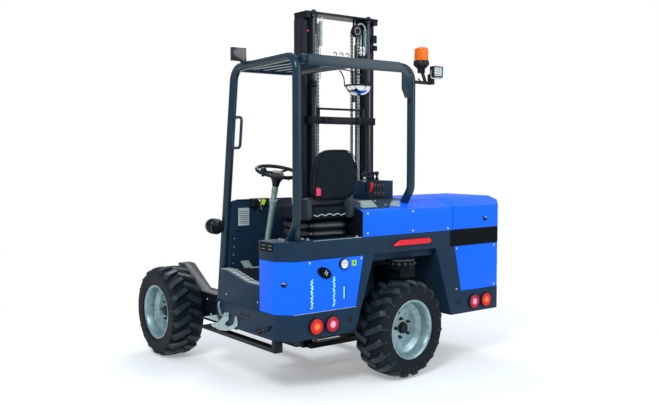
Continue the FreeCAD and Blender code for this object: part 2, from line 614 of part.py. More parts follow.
def guard_tubes():
    """Left hoop with its leaning front post, right post with the rear tube, and the roof's right rail."""
    bend, dia = size("guard_bend"), size("post_dia")
    rear, front = size("guard_line"), size("guard_front_line")
    left_y, right_y, front_x = size("post_y"), size("right_post_y"), size("guard_front_x")
    rear_tube = size("beam_top") - dia / 2
    left = foot_below(foot_points(left_y, size("belt_high"), size("foot_rise"), rear), dia)
    corner, foot = Vector(front_x, left_y, front), point("guard_front_x", "post_foot_y", "sill_high")
    left += [corner, foot + (foot - corner).normalize() * dia]
    bevel = (size("hood_top") - size("hood_face_high")) / (size("hood_bevel_x") - size("rear_x"))
    seat = size("hood_face_high") + bevel * (size("foot_lean") - size("rear_x"))
    right = foot_below(foot_points(right_y, seat, size("right_foot_rise"), rear_tube), dia)
    right.append(Vector(0, left_y - dia / 2, rear_tube))
    rail_x, rail_y = front_x - size("roof_bar"), size("roof_right_y")
    rail = [Vector(0, rail_y, rear_tube), Vector(rail_x, rail_y, front),
            Vector(rail_x, left_y - dia / 4, front)]
    return [tube("guard_left", left, bend, dia), tube("guard_right", right, bend, dia),
            tube("guard_rail", rail, bend, dia)]


def foot_gusset():
    """The plate that widens the left post's foot towards the seat."""
    return prism("foot_gusset_plate", "XZ", [
        ("foot_lean", "belt_high"), ("foot_lean - foot_gusset", "belt_high"),
        ("-foot_gusset / 4", "belt_high + foot_rise"), ("0", "belt_high + foot_rise"),
    ], "post_y - foot_gusset_wall / 2", "post_y + foot_gusset_wall / 2")


def grab_handle():
    """The bow that the driver holds, on the leaning front post."""
    lean = (size("post_foot_y") - size("post_y")) / (size("guard_front_line") - size("sill_high"))
    bow_x = size("guard_front_x") - size("post_dia") / 2 - size("handle_reach")

    def beside(alias):
        return size("post_y") + (size("guard_front_line") - size(alias)) * lean
    low, high = beside("handle_low"), beside("handle_high")
    return tube("grab_bow", [
        point("guard_front_x", low, "handle_low"), Vector(bow_x, low, size("handle_low")),
        Vector(bow_x, high, size("handle_high")), point("guard_front_x", high, "handle_high"),
    ], size("handle_bend"), size("handle_dia"))


def build_guard():
    """The welded guard with its roof bars, trimmed to the deck and the hood, and the rear beam."""
    pitch = "(post_y - roof_right_y) / (roof_bars + 1)"
    middle = "guard_front_line - roof_bar_wall / 2"
    bars = [block(f"roof_bar_{n}", ("0", "guard_front_x - roof_bar"),
                  (f"roof_right_y + {n} * {pitch} - roof_bar / 2",
                   f"roof_right_y + {n} * {pitch} + roof_bar / 2"),
                  (middle, f"{middle} + roof_bar_wall"))
            for n in range(1, int(size("roof_bars")) + 1)]
    welded = fuse("guard_fuse", *guard_tubes(), grab_handle(), foot_gusset(), *bars)
    deck = block("guard_deck", ("rear_x - overcut", "seat_box_x + overcut"), ("0", "body_half_width"),
                 ("belt_low", "belt_high"))
    sill = block("guard_sill", ("guard_front_x - post_dia", "guard_front_x + post_dia"),
                 ("post_foot_y - post_dia", "post_foot_y + 2 * post_dia"), ("sill_low", "sill_high"))
    hood = prism("guard_hood", "XZ", hood_side_view("belt_low"), "right_post_y - post_dia",
                 "right_post_y + post_dia")
    node("guard_frame", cut("guard_trimmed", welded, deck, sill, hood))
    back = "-post_dia / 2 - beam_wall"
    plate = prism("rear_beam_plate", "YZ", [
        ("post_y - beam_inset", "beam_top - beam_depth"), ("post_y - beam_inset", "beam_top"),
        ("right_post_y + beam_inset + beam_cut", "beam_top"),
        ("right_post_y + beam_inset", "beam_top - beam_depth + beam_wall"),
        ("right_post_y + beam_inset", "beam_top - beam_depth"),
    ], back, "-post_dia / 2")
    gusset = prism("beam_gusset", "YZ", [
        ("right_post_y + beam_inset / 2", "beam_top - beam_depth"),
        ("right_post_y + beam_inset / 2 + gusset_width", "beam_top - beam_depth"),
        ("right_post_y + beam_inset / 2 + gusset_width",
         "beam_top - beam_depth - gusset_drop + gusset_taper"),
        ("right_post_y + beam_inset / 2 + gusset_taper", "beam_top - beam_depth - gusset_drop"),
        ("right_post_y + beam_inset / 2", "beam_top - beam_depth - gusset_drop"),
    ], back, f"{back} + gusset_wall")
    node("rear_beam", fuse("rear_beam_fuse", plate, gusset))


# ---------------------------------------------------------------- seat and controls
def build_seat():
    """Suspension bellows, cushion and back."""
    half = "seat_width / 2"
    node("seat_base", block(
        "bellows", ("seat_back_x - bellows_setback", "seat_back_x - bellows_setback + bellows_depth"),
        (f"seat_y - {half} + bellows_inset", f"seat_y + {half} - bellows_inset"),
        ("belt_high", "bellows_high")))
    node("seat_cushion", block("cushion", ("seat_back_x", "seat_back_x + seat_depth"),
                               (f"seat_y - {half}", f"seat_y + {half}"), ("bellows_high", "cushion_high")))
    right, left = f"seat_y - {half} - seat_back_right", f"seat_y + {half} - seat_back_left"
    rest = prism("back_rest", "XZ", [
        ("seat_back_x", "cushion_high"), ("seat_back_x - seat_back_lean", "seat_back_top"),
        ("seat_back_x - seat_back_lean + seat_back_wall", "seat_back_top"),
        ("seat_back_x + seat_back_wall + seat_back_foot", "cushion_high"),
    ], right, left)
    shoulders = [prism(f"back_shoulder_{side}", "YZ", [
        (edge, "seat_back_top - seat_back_shoulder"),
        (f"{edge} {out} overcut", "seat_back_top - seat_back_shoulder"),
        (f"{edge} {out} overcut", "seat_back_top + overcut"),
        (f"{edge} {back} seat_back_taper", "seat_back_top + overcut"),
    ], "seat_back_x - 2 * seat_back_lean", "seat_back_x + 2 * seat_back_wall")
        for side, edge, out, back in (("left", left, "+", "-"), ("right", right, "-", "+"))]
    node("seat_back", cut("back_shaped", rest, *shoulders))


def build_steering():
    """Column from the floor and the hand wheel on it."""
    foot = point("column_foot_x", "column_y", "floor_high")
    head = point("column_head_x", "column_y", "column_head")
    along, dia = (head - foot).normalize(), size("column_dia")
    bar = Part.makeCylinder(dia / 2, (head - foot).Length + dia, foot - along * dia, along)
    column = shape("column_bar", bar)
    below = block("column_floor", ("column_foot_x - 2 * column_dia", "column_foot_x + 2 * column_dia"),
                  ("column_y - column_dia", "column_y + column_dia"), ("floor_low", "floor_high"))
    node("steering_column", cut("column_trimmed", column, below))
    rim_radius = (size("steering_wheel_dia") - size("steering_rim")) / 2
    centre = head + along * size("steering_boss_rise")
    rim = Part.makeTorus(rim_radius, size("steering_rim") / 2, centre, along)
    boss = Part.makeCylinder(size("steering_boss") / 2, size("steering_boss_rise"), head, along)
    sideways = along.cross(Vector(0, 1, 0)).normalize()
    root = centre - along * size("spoke_sink")
    spokes = [Part.makeCylinder(size("spoke_dia") / 2, rim_radius, root,
                                Rotation(along, angle).multVec(sideways))
              for angle in (0, 120, 240)]
    node("steering_wheel", shape("hand_wheel", boss.fuse([rim, *spokes]).removeSplitter()))


def build_console():
    """The box of hydraulic levers on the hood, beside the seat."""
    high = "hood_top + console_rise"
    pieces = [block("console_box", ("console_x", "console_x + console_depth"),
                    ("console_y - console_width", "console_y"), ("hood_top", high))]
    for number in range(int(size("lever_rows"))):
        spot = ("console_x + console_depth / 2", f"console_y - lever_inset - {number} * lever_pitch")
        pieces.append(rod(f"lever_stem_{number}", "Z", (*spot, high), "lever_high", "lever_dia"))
        pieces.append(rod(f"lever_knob_{number}", "Z", (*spot, f"{high} + lever_high - lever_knob"),
                          "lever_knob", "lever_knob"))
    node("console", fuse("console_fuse", *pieces))


# ---------------------------------------------------------------- front legs
def build_legs():
    """Straddle legs with the carriage rail inside and the bracket over the hub motor."""
    profile = [
        ("frame_front_x", "sill_low"), ("frame_front_x + leg_drop_run", "leg_low"),
        ("leg_front_x", "leg_low"),
        ("leg_front_x", "leg_top"), ("frame_front_x", "leg_top"),
    ]
    bracket_outline = [("bracket_low_x", "leg_top"), ("bracket_x", "bracket_high"),
                       ("leg_front_x", "bracket_high"),
                       ("leg_front_x", "leg_top")]
    for side in SIDES:
        beam = prism(f"leg_beam_{side}", "XZ", profile, *across(side, "leg_inner_y", "leg_outer_y"))
        bracket = prism(f"leg_bracket_{side}", "XZ", bracket_outline,
                        *across(side, "leg_outer_y - bracket_width", "leg_outer_y"))
        rail = block(f"leg_rail_{side}", ("frame_front_x - overcut", "rail_end_x"),
                     across(side, "leg_inner_y - overcut", "leg_inner_y + rail_depth"),
                     ("rail_low", "rail_high"))
        node(f"leg_{side}", cut(f"leg_cut_{side}", fuse(f"leg_fuse_{side}", beam, bracket), rail))


# ---------------------------------------------------------------- wheels
def faceted_turn(corners, facets):
    """A closed solid of flat faces round the Y axis, from (y, radius) corners of its section."""
    turns = [2 * math.pi * step / facets for step in range(facets)]
    stretch = 1 / math.cos(math.pi / facets)
    rings = [[Vector(radius * stretch * math.cos(turn), y,
                     radius * stretch * math.sin(turn)) for turn in turns]
             for y, radius in corners]
    faces = []
    for near, far in zip(rings, rings[1:] + rings[:1]):
        for step in range(facets):
            after = (step + 1) % facets
            loop = [near[step], near[after], far[after], far[step], near[step]]
            faces.append(Part.Face(Part.makePolygon(loop)))
    solid = Part.Solid(Part.Shell(faces))
    if solid.Volume < 0:
        solid.reverse()
    return solid


def tyre_carcass():
    """The tyre without its lugs, as flat facets, with its bore sized to the rim's seat."""
    bead, radius = size("tyre_bead_width") / 2, size("tyre_bead_dia") / 2
    half = [(bead, radius), (bead, radius + size("bead_rise")),
            (size("tyre_width") / 2, radius + size("sidewall_rise")),
            (size("tyre_width") / 2, size("shoulder_dia") / 2),
            (size("crown_width") / 2, size("tyre_dia") / 2 - size("lug_depth"))]
    return faceted_turn(half + [(-y, r) for y, r in reversed(half)], int(size("tyre_facets")))


def tyre_lugs():
    """Bars slanted from the middle to both shoulders, every other one on the other side."""
    skew, half_wall = math.radians(size("lug_skew")), size("lug_wall") / 2
    outer = size("tyre_width") / 2 / math.cos(skew) - half_wall * math.tan(skew)
    shoulder = outer - size("lug_bevel")
    low, root = size("shoulder_dia") / 2 - size("lug_sink"), size("tyre_dia") / 2 - size("lug_depth") - size("lug_sink")

    def top(along):
        """The height at which the bar's far corner reaches the tyre's full diameter."""
        return math.sqrt((size("tyre_dia") / 2) ** 2 - (half_wall * math.cos(skew) + abs(along) * math.sin(skew)) ** 2)
    section = [(size("lug_start"), root), (size("lug_start"), top(size("lug_start"))),
               (shoulder, top(shoulder)),
               (outer, top(shoulder) - size("lug_bevel")), (outer, low), (outer - size("lug_depth"), low)]
    loop = Part.makePolygon([Vector(-half_wall, y, z) for y, z in section + section[:1]])
    bar = Part.Face(loop).extrude(Vector(2 * half_wall, 0, 0))
    lugs, pitch = [], 360 / int(size("lug_count"))
    for number in range(int(size("lug_count"))):
        for shift, slant in ((0, size("lug_skew")), (pitch / 2, 180 - size("lug_skew"))):
            lug = bar.copy()
            about = Rotation(Vector(0, 1, 0), number * pitch + shift).multiply(Rotation(Vector(0, 0, 1),
                                                                                        slant))
            lug.Placement = FreeCAD.Placement(Vector(0, 0, 0), about)
            lugs.append(lug)
    return lugs


RIM = [
    ("bead_half + rim_wall", "rim_flange_dia / 2"), ("bead_half", "rim_flange_dia / 2"),
    ("bead_half", "tyre_bead_dia / 2 - bead_seat"), ("-bead_half", "tyre_bead_dia / 2 - bead_seat"),
    ("-bead_half", "rim_flange_dia / 2"), ("-bead_half - rim_wall", "rim_flange_dia / 2"),
    ("-bead_half - rim_wall", "tyre_bead_dia / 2 - bead_seat - rim_wall"),
    ("disc_y - rim_wall", "tyre_bead_dia / 2 - bead_seat - rim_wall"), ("disc_y - rim_wall", "0"),
    ("disc_y + hub_length", "0"), ("disc_y + hub_length", "hub_dia / 2"), ("disc_y", "hub_dia / 2"),
    ("disc_y", "tyre_bead_dia / 2 - bead_seat - rim_wall"),
    ("bead_half + rim_wall", "tyre_bead_dia / 2 - bead_seat - rim_wall"),
]


def wheel(name, tyre, rim, turn, **place):
    """One wheel out of the common tyre and rim; the rim's open face looks along +Y before the turn."""
    node(f"tyre_{name}", moved(group(f"{name}_tyre_placed", tyre), turn, **place))
    node(f"rim_{name}", moved(group(f"{name}_rim_placed", rim), turn, **place))


def hub_motor(name, turn, **place):
    """The round motor behind a rim's disc."""
    body = lathe(name, [
        ("motor_back", "0"), ("motor_front", "0"), ("motor_front", "hub_motor_dia / 2 - hub_motor_bevel"),
        ("motor_front - hub_motor_bevel", "hub_motor_dia / 2"), ("motor_back", "hub_motor_dia / 2"),
    ])
    return moved(body, turn, **place)


def build_wheels():
    """Two driven front wheels and the steered rear wheel, which stands turned across the machine."""
    tyre = shape("tyre_lugged", tyre_carcass().fuse(tyre_lugs()).removeSplitter())
    rim = lathe("rim_turned", RIM)
    front = {"x": "wheelbase", "z": "axle_z"}
    wheel("front_left", tyre, rim, "0", y="wheel_track_half", **front)
    wheel("front_right", tyre, rim, "180", y="-wheel_track_half", **front)
    wheel("rear", tyre, rim, "90 + steer_turn", x="0", y="0", z="axle_z")
    neck = "wheel_track_half + motor_back - leg_outer_y"
    motors = []
    for side, turn, y in (("left", "0", "wheel_track_half"), ("right", "180", "-wheel_track_half")):
        start = across(side, "leg_outer_y", f"leg_outer_y + {neck}")[0]
        motors.append(fuse(f"motor_{side}", hub_motor(f"motor_{side}_body", turn, y=y, **front),
                           rod(f"motor_{side}_neck", "Y", ("wheelbase", start, "axle_z"), neck,
                               "hub_motor_dia")))
    node("hub_motors", group("hub_motor_pair", *motors))


def build_steer_yoke():
    """Turntable, arm and hub motor that carry the rear wheel."""
    motor = hub_motor("yoke_motor", "0", x="0", y="0", z="axle_z")
    inside = "-(tyre_width / 2 + yoke_gap)"
    outside = f"({inside} - yoke_wall)"
    arm = block("yoke_arm", ("-yoke_width / 2", "yoke_width / 2"), (outside, inside),
                ("axle_z - yoke_arm_drop", "yoke_high"))
    bridge = block("yoke_bridge_beam", ("-yoke_width / 2", "yoke_width / 2"), (outside, "yoke_width / 2"),
                   ("yoke_high - yoke_bridge", "yoke_high"))
    neck = rod("yoke_neck", "Y", ("0", outside, "axle_z"), f"motor_back - {outside}", "yoke_neck_dia")
    ring = rod("turntable", "Z", ("0", "0", "yoke_high"), "turntable_high - turn_gap", "turntable_dia")
    yoke = fuse("yoke_fuse", motor, arm, bridge, neck, ring)
    node("steer_yoke", moved(yoke, "90 + steer_turn", x="0"))


# ---------------------------------------------------------------- reach carriage and mast
def pin_ears(name, x, z, stem_low, stem_high, stem_x):
    """Two ears with a pin between them on each side, for the eye of a tilt cylinder."""
    pieces, half = [], "(tilt_eye_width / 2 + ear_gap)"
    for side in SIDES:
        for which, low, high in (("outer", half, f"{half} + tilt_ear"),
                                 ("inner", f"-{half} - tilt_ear", f"-{half}")):
            span = across(side, f"tilt_y + {low}", f"tilt_y + {high}")
            pieces.append(block(f"{name}_ear_{side}_{which}", stem_x, span, (stem_low, stem_high)))
        start, _ = across(side, f"tilt_y - {half} - tilt_ear", f"tilt_y + {half} + tilt_ear")
        pieces.append(rod(f"{name}_pin_{side}", "Y", (x, start, z), f"2 * {half} + 2 * tilt_ear",
                          "tilt_pin_dia"))
    return pieces


def build_reach_carriage():
    """Rollers in the leg rails, side plates, arms and the bar behind the mast."""
    cheek_in = "mast_bay_half - bay_gap"
    pieces = [block("reach_bar", ("reach_bar_x", "reach_bar_x + reach_bar_wall"),
                    (f"-({cheek_in})", cheek_in), ("reach_low", "reach_high"))]
    side_x = ("frame_front_x + overcut", "frame_front_x + overcut + reach_length")
    for side in SIDES:
        pieces += [
            block(f"reach_side_{side}", side_x, across(side, "reach_wide - reach_wall", "reach_wide"),
                  ("reach_side_low", "reach_side_high")),
            block(f"reach_arm_{side}", (side_x[0], "mast_front_x - cheek_setback"),
                  across(side, "mast_bay_half - reach_arm", "reach_wide - reach_wall"),
                  ("reach_low", "reach_high")),
            block(f"reach_cheek_{side}", ("reach_bar_x", "mast_front_x - cheek_setback"),
                  across(side, f"{cheek_in} - cheek_wall", cheek_in),
                  ("reach_low - cheek_rise", "reach_high + 2 * cheek_rise")),
        ]
        for number in range(2):
            start, _ = across(side, "reach_wide", "reach_wide + rail_depth - roller_inset")
            x = f"frame_front_x + overcut + roller_first + {number} * roller_pitch"
            pieces.append(rod(f"reach_roller_{side}_{number}", "Y",
                              (x, start, "rail_low + run_gap + roller_dia / 2"),
                              "rail_depth - roller_inset", "roller_dia"))
    pieces += pin_ears("reach", "tilt_base_x", "tilt_base_z", "reach_high", "tilt_base_z + ear_aft",
                       ("tilt_base_x - ear_aft", "tilt_base_x + ear_aft"))
    bore = rod("pivot_bore", "Y", ("pivot_x", "-mast_bay_half", "pivot_z"), "2 * mast_bay_half",
               "pivot_dia + 2 * pivot_gap")
    node("reach_carriage", cut("reach_cut", fuse("reach_fuse", *pieces), bore))


def outer_channel(side):
    """One outer beam, open towards the middle, with the pivot pin on its outside."""
    whole = block(f"outer_whole_{side}", ("mast_rear_x", "mast_front_x"),
                  across(side, "mast_half_width - channel_depth", "mast_half_width"),
                  ("mast_low", "outer_top"))
    hollow = block(f"outer_hollow_{side}", ("mast_rear_x + channel_wall", "mast_front_x - channel_wall"),
                   across(side, "mast_half_width - channel_depth - overcut",
                          "mast_half_width - channel_wall"),
                   ("mast_low - overcut", "outer_top + overcut"))
    reach = "mast_bay_half - bay_gap - pivot_play - mast_half_width"
    start, _ = across(side, "mast_half_width", f"mast_half_width + {reach}")
    pin = rod(f"mast_pin_{side}", "Y", ("pivot_x", start, "pivot_z"), reach, "pivot_dia")
    return [cut(f"outer_channel_{side}", whole, hollow), pin]


def inner_channel(side):
    """One inner beam, open towards the middle, with the rollers that run in the outer beam."""
    beam = block(f"inner_whole_{side}", ("mast_rear_x + inner_play", "mast_front_x - inner_play"),
                 across(side, "inner_tip", "inner_web"), ("mast_low + mast_lift", "inner_top - top_plate"))
    trough = block(f"inner_trough_{side}",
                   ("mast_rear_x + inner_play + inner_wall", "mast_front_x - inner_play - inner_wall"),
                   across(side, "inner_tip - overcut", "inner_web - inner_wall"),
                   ("mast_low", "inner_top - top_plate - trough_end"))
    pieces = [cut(f"inner_channel_{side}", beam, trough)]
    wide = "mast_gap + channel_depth - channel_wall - mast_gap"
    for number, z in enumerate(("mast_low + mast_roller_low", "outer_top - mast_roller_drop")):
        start, _ = across(side, "inner_web", f"inner_web + {wide}")
        pieces.append(rod(f"mast_roller_{side}_{number}", "Y", ("mast_middle", start, z), wide,
                          "mast_front_x - mast_rear_x - 2 * channel_wall - 2 * run_gap"))
    return pieces


def mast_bars():
    """Bars across the back of the outer beams, and the slim bar on its two posts."""
    bars, half = [], "mast_half_width - cross_inset"
    for name, low, high in (("mid", "mid_cross_z", "mid_cross_z + cross_bar"),
                            ("knee", "knee_cross_z", "knee_cross_z + cross_bar"),
                            ("foot", "mast_low", "mast_low + foot_bar")):
        bars.append(block(f"cross_{name}", ("mast_rear_x - cross_depth", "mast_rear_x"),
                          (f"-({half})", half), (low, high)))
    edge = "barrel_y - barrel_dia / 2 - inner_play"
    bars.append(block("cross_slim", ("mast_rear_x - slim_depth", "mast_rear_x"), (f"-({edge})", edge),
                      ("slim_cross_z", "slim_cross_z + slim_cross_bar")))
    for side in SIDES:
        bars.append(block(f"slim_post_{side}", ("mast_rear_x - slim_post", "mast_rear_x"),
                          across(side, f"{edge} - slim_post", edge),
                          ("mid_cross_z", "slim_cross_z + slim_cross_bar")))
    return bars


def build_mast():
    """Outer beams with cross bars and pivots, inner beams with the top plate."""
    outer = [piece for side in SIDES for piece in outer_channel(side)] + mast_bars()
    outer += pin_ears("mast", "tilt_eye_x", "tilt_eye_z", "tilt_eye_z - ear_over", "knee_cross_z",
                      ("tilt_eye_x - cheek_rise", "tilt_eye_x + ear_fore"))
    holes = [rod(f"barrel_hole_{side}", "Z", ("barrel_x", y, "mast_low + foot_bar"), "outer_top",
                 "barrel_dia")
             for side, y in (("left", "barrel_y"), ("right", "-barrel_y"))]
    node("mast_outer", cut("mast_outer_cut", fuse("mast_outer_fuse", *outer), *holes))
    inner = [piece for side in SIDES for piece in inner_channel(side)]
    inner.append(block("inner_top_plate", ("top_plate_rear_x", "mast_front_x"),
                       ("-mast_half_width", "mast_half_width"), ("inner_top - top_plate", "inner_top")))
    half = "mast_half_width - mast_shoe_inset"
    inner.append(block("inner_shoe", ("mast_front_x - inner_play - mast_shoe_wall",
                                      "mast_front_x - inner_play"),
                       (f"-({half})", half), ("mast_low + mast_lift", "mast_low + mast_lift + mast_shoe")))
    node("mast_inner", fuse("mast_inner_fuse", *inner))


def build_lift():
    """Lift cylinders behind the beams, chains and their pulleys."""
    barrels, rods, chains = [], [], []
    for side in SIDES:
        y = "barrel_y" if side == "left" else "-barrel_y"
        shell = rod(f"barrel_{side}", "Z", ("barrel_x", y, "mast_low + foot_bar"),
                    "barrel_top - mast_low - foot_bar", "barrel_dia")
        bore = rod(f"barrel_bore_{side}", "Z", ("barrel_x", y, "mast_low + foot_bar + barrel_floor"),
                   "barrel_top",
                   "rod_dia + 2 * rod_clear")
        barrels.append(cut(f"barrel_cut_{side}", shell, bore))
        rods.append(rod(f"lift_rod_{side}", "Z", ("barrel_x", y, "mast_low + foot_bar + 2 * barrel_floor"),
                        "inner_top - top_plate - mast_low - foot_bar - 2 * barrel_floor", "rod_dia"))
        span = across(side, "chain_y - chain_width / 2", "chain_y + chain_width / 2")
        front, hub = "chain_x + pulley_dia", "chain_x + pulley_dia / 2"
        chains += [
            block(f"chain_rear_{side}", ("chain_x - chain_wall / 2", "chain_x + chain_wall / 2"), span,
                  ("chain_low", "pulley_z")),
            block(f"chain_front_{side}", (f"{front} - chain_wall / 2", f"{front} + chain_wall / 2"), span,
                  ("chain_low + chain_step", "pulley_z")),
            rod(f"pulley_{side}", "Y", (hub, span[0], "pulley_z"), "chain_width", "pulley_dia + chain_wall"),
            block(f"pulley_hanger_{side}", (f"{hub} - pulley_hanger / 2", f"{hub} + pulley_hanger / 2"), span,
                  ("pulley_z", "inner_top - top_plate")),
        ]
    node("lift_barrels", group("barrel_pair", *barrels))
    node("lift_rods", group("rod_pair", *rods))
    node("lift_chains", fuse("chain_fuse", *chains))


def build_tilt_cylinders():
    """Short cylinders between the reach bar and the mast's knee bar, drawn in their real lean."""
    barrels, rods = [], []
    base, eye = point("tilt_base_x", 0, "tilt_base_z"), point("tilt_eye_x", 0, "tilt_eye_z")
    along, reach = (eye - base).normalize(), (eye - base).Length
    pin, eye_radius = size("tilt_pin_dia") / 2, size("tilt_pin_dia") / 2 + size("tilt_eye_wall")
    rod_radius, neck = size("tilt_rod_dia") / 2, size("tilt_neck")
    wide = Vector(0, size("tilt_eye_width") / 2, 0)

    def eye_at(centre, radius):
        return Part.makeCylinder(radius, 2 * wide.y, centre - wide, wide)
    for y in (size("tilt_y"), -size("tilt_y")):
        foot = base + Vector(0, y, 0)
        tip = foot + along * reach
        shell = Part.makeCylinder(size("tilt_dia") / 2, size("tilt_barrel"), foot + along * neck, along)
        stem = Part.makeCylinder(wide.y, neck, foot, along)
        bore = Part.makeCylinder(rod_radius + size("rod_clear"), reach, foot + along * (2 * neck), along)
        barrel = shell.fuse([stem, eye_at(foot, eye_radius)])
        barrels.append(barrel.cut(bore).cut(eye_at(foot, pin + size("pin_gap"))))
        start = neck + size("tilt_rod_start")
        bar = Part.makeCylinder(rod_radius, reach - start, foot + along * start, along)
        rods.append(bar.fuse(eye_at(tip, eye_radius)).cut(eye_at(tip, pin + size("eye_play"))))
    node("tilt_barrels", shape("tilt_barrel_pair", Part.makeCompound(barrels)))
    node("tilt_rods", shape("tilt_rod_pair", Part.makeCompound(rods)))


def build_forks():
    """Fork carriage with its roller arms, and the two forks hooked on it."""
    plates = [
        block("carriage_top", ("fork_carriage_x", "fork_face"), ("-carriage_half", "carriage_half"),
              ("carriage_high - carriage_bar", "carriage_high")),
        block("carriage_bottom", ("fork_carriage_x", "fork_face"), ("-carriage_half", "carriage_half"),
              ("carriage_low", "carriage_low + carriage_bar")),
    ]
    roller_start, roller_end = "inner_tip - roller_web", "inner_web - inner_wall - mast_gap"
    for side in SIDES:
        plates.append(block(f"carriage_upright_{side}", ("fork_carriage_x", "fork_face"),
                            across(side, "upright_y", "upright_y + upright_width"),
                            ("carriage_low", "carriage_high")))
        arm_out = "inner_tip - carriage_arm_gap"
        plates.append(block(f"carriage_arm_{side}", ("mast_rear_x + inner_play + overcut", "fork_carriage_x"),
                            across(side, f"{arm_out} - carriage_arm", arm_out),
                            ("carriage_arm_low", "carriage_high - overcut")))
        for number, z in enumerate(("carriage_low + carriage_roller_step",
                                    "carriage_high - carriage_roller_step")):
            start, _ = across(side, roller_start, roller_end)
            plates.append(rod(f"carriage_roller_{side}_{number}", "Y", ("mast_middle", start, z),
                              f"({roller_end}) - ({roller_start})",
                              "mast_front_x - mast_rear_x - 2 * inner_play - 2 * inner_wall - 2 * run_gap"))
    node("fork_carriage", fuse("fork_carriage_fuse", *plates))
    forks = [prism(f"fork_{side}", "XZ", [
        ("fork_face", "fork_low"), ("fork_face + fork_length - fork_nose_run", "fork_low"),
        ("fork_face + fork_length", "fork_low + fork_nose"),
        ("fork_face + fork_length - fork_nose_run / 2", "fork_low + fork_tip"),
        ("fork_face + fork_wall", "fork_low + fork_wall"), ("fork_face + fork_wall", "fork_low + fork_shank"),
        ("fork_face", "fork_low + fork_shank"),
    ], *across(side, "fork_y - fork_width / 2", "fork_y + fork_width / 2")) for side in SIDES]
    node("forks", group("fork_pair", *forks))


# ---------------------------------------------------------------- step, hook, lamps and fittings
def build_step():
    """The step bar hung under the left sill."""
    low, high = "step_y - step_width / 2", "step_y + step_width / 2"
    bar = block("step_bar_flat", ("step_rear_x", "step_front_x"), (low, high),
                ("step_low", "step_low + step_wall"))
    rear = block("step_rear_leg", ("step_rear_x", "step_rear_x + step_leg"), (low, high),
                 ("step_low", "sill_low"))
    front = block("step_front_leg", ("step_front_x - step_leg", "step_front_x"), ("leg_outer_y", high),
                  ("step_low", "step_low + step_wall"))
    node("step_bar", fuse("step_fuse", bar, rear, front))


def build_sill_fittings():
    """The locking bolt on its plate and the double mounting hook, both on the left sill."""
    out = "body_half_width"
    plate = block("latch_plate_block", ("latch_x + latch_length / 2",
                                        "latch_x + latch_length / 2 + latch_plate"),
                  (out, f"{out} + latch_plate_wall"),
                  ("latch_z - latch_plate / 2", "latch_z + latch_plate / 2"))
    bolt = rod("latch_bolt", "X", ("latch_x", f"{out} + latch_dia / 2", "latch_z"), "latch_length",
               "latch_dia")
    prong = [("hook_x", "hook_z"), ("hook_x + hook_length", "hook_z"),
             ("hook_x + hook_length", "hook_z + hook_high / 2"),
             ("hook_x + hook_length - hook_prong", "hook_z + hook_high / 2"),
             ("hook_x + hook_length - hook_prong", "hook_z + hook_bar"),
             ("hook_x + hook_length / 2 + hook_prong / 2", "hook_z + hook_bar"),
             ("hook_x + hook_length / 2 + hook_prong / 2", "hook_z + hook_high"),
             ("hook_x + hook_length / 2 - hook_prong / 2", "hook_z + hook_high"),
             ("hook_x + hook_length / 2 - hook_prong / 2", "hook_z + hook_bar"),
             ("hook_x + hook_prong", "hook_z + hook_bar"),
             ("hook_x + hook_prong / 2", "hook_z + hook_high"), ("hook_x", "hook_z + hook_high")]
    hook = prism("mounting_hook", "XZ", prong, out, f"{out} + hook_wall")
    node("sill_fittings", group("sill_fitting_set", fuse("sill_latch", plate, bolt), hook))


def build_tail_lamps():
    """Round tail lamps and the long lamp on the belt, by colour."""
    left_out, right_in = "body_half_width - lamp_left_inset", "-body_half_width + lamp_right_inset + lamp_pitch"

    def lamp(name, y):
        return rod(name, "X", ("rear_x - lamp_wall", y, "lamp_z"), "lamp_wall", "lamp_dia")
    node("turn_lamps", group("turn_lamp_pair", lamp("turn_lamp_left", left_out),
                             lamp("turn_lamp_right", f"{right_in} - lamp_pitch")))
    node("tail_lamps", group("tail_lamp_pair", lamp("tail_lamp_left", f"{left_out} - lamp_pitch"),
                             lamp("tail_lamp_right", right_in)))
    middle = "belt_high - belt_lamp_drop"
    node("belt_lamp", block("belt_lamp_box", ("rear_x - lamp_wall", "rear_x"),
                            ("belt_lamp_y - belt_lamp_width / 2", "belt_lamp_y + belt_lamp_width / 2"),
                            (f"{middle} - belt_lamp_bar / 2", f"{middle} + belt_lamp_bar / 2")))


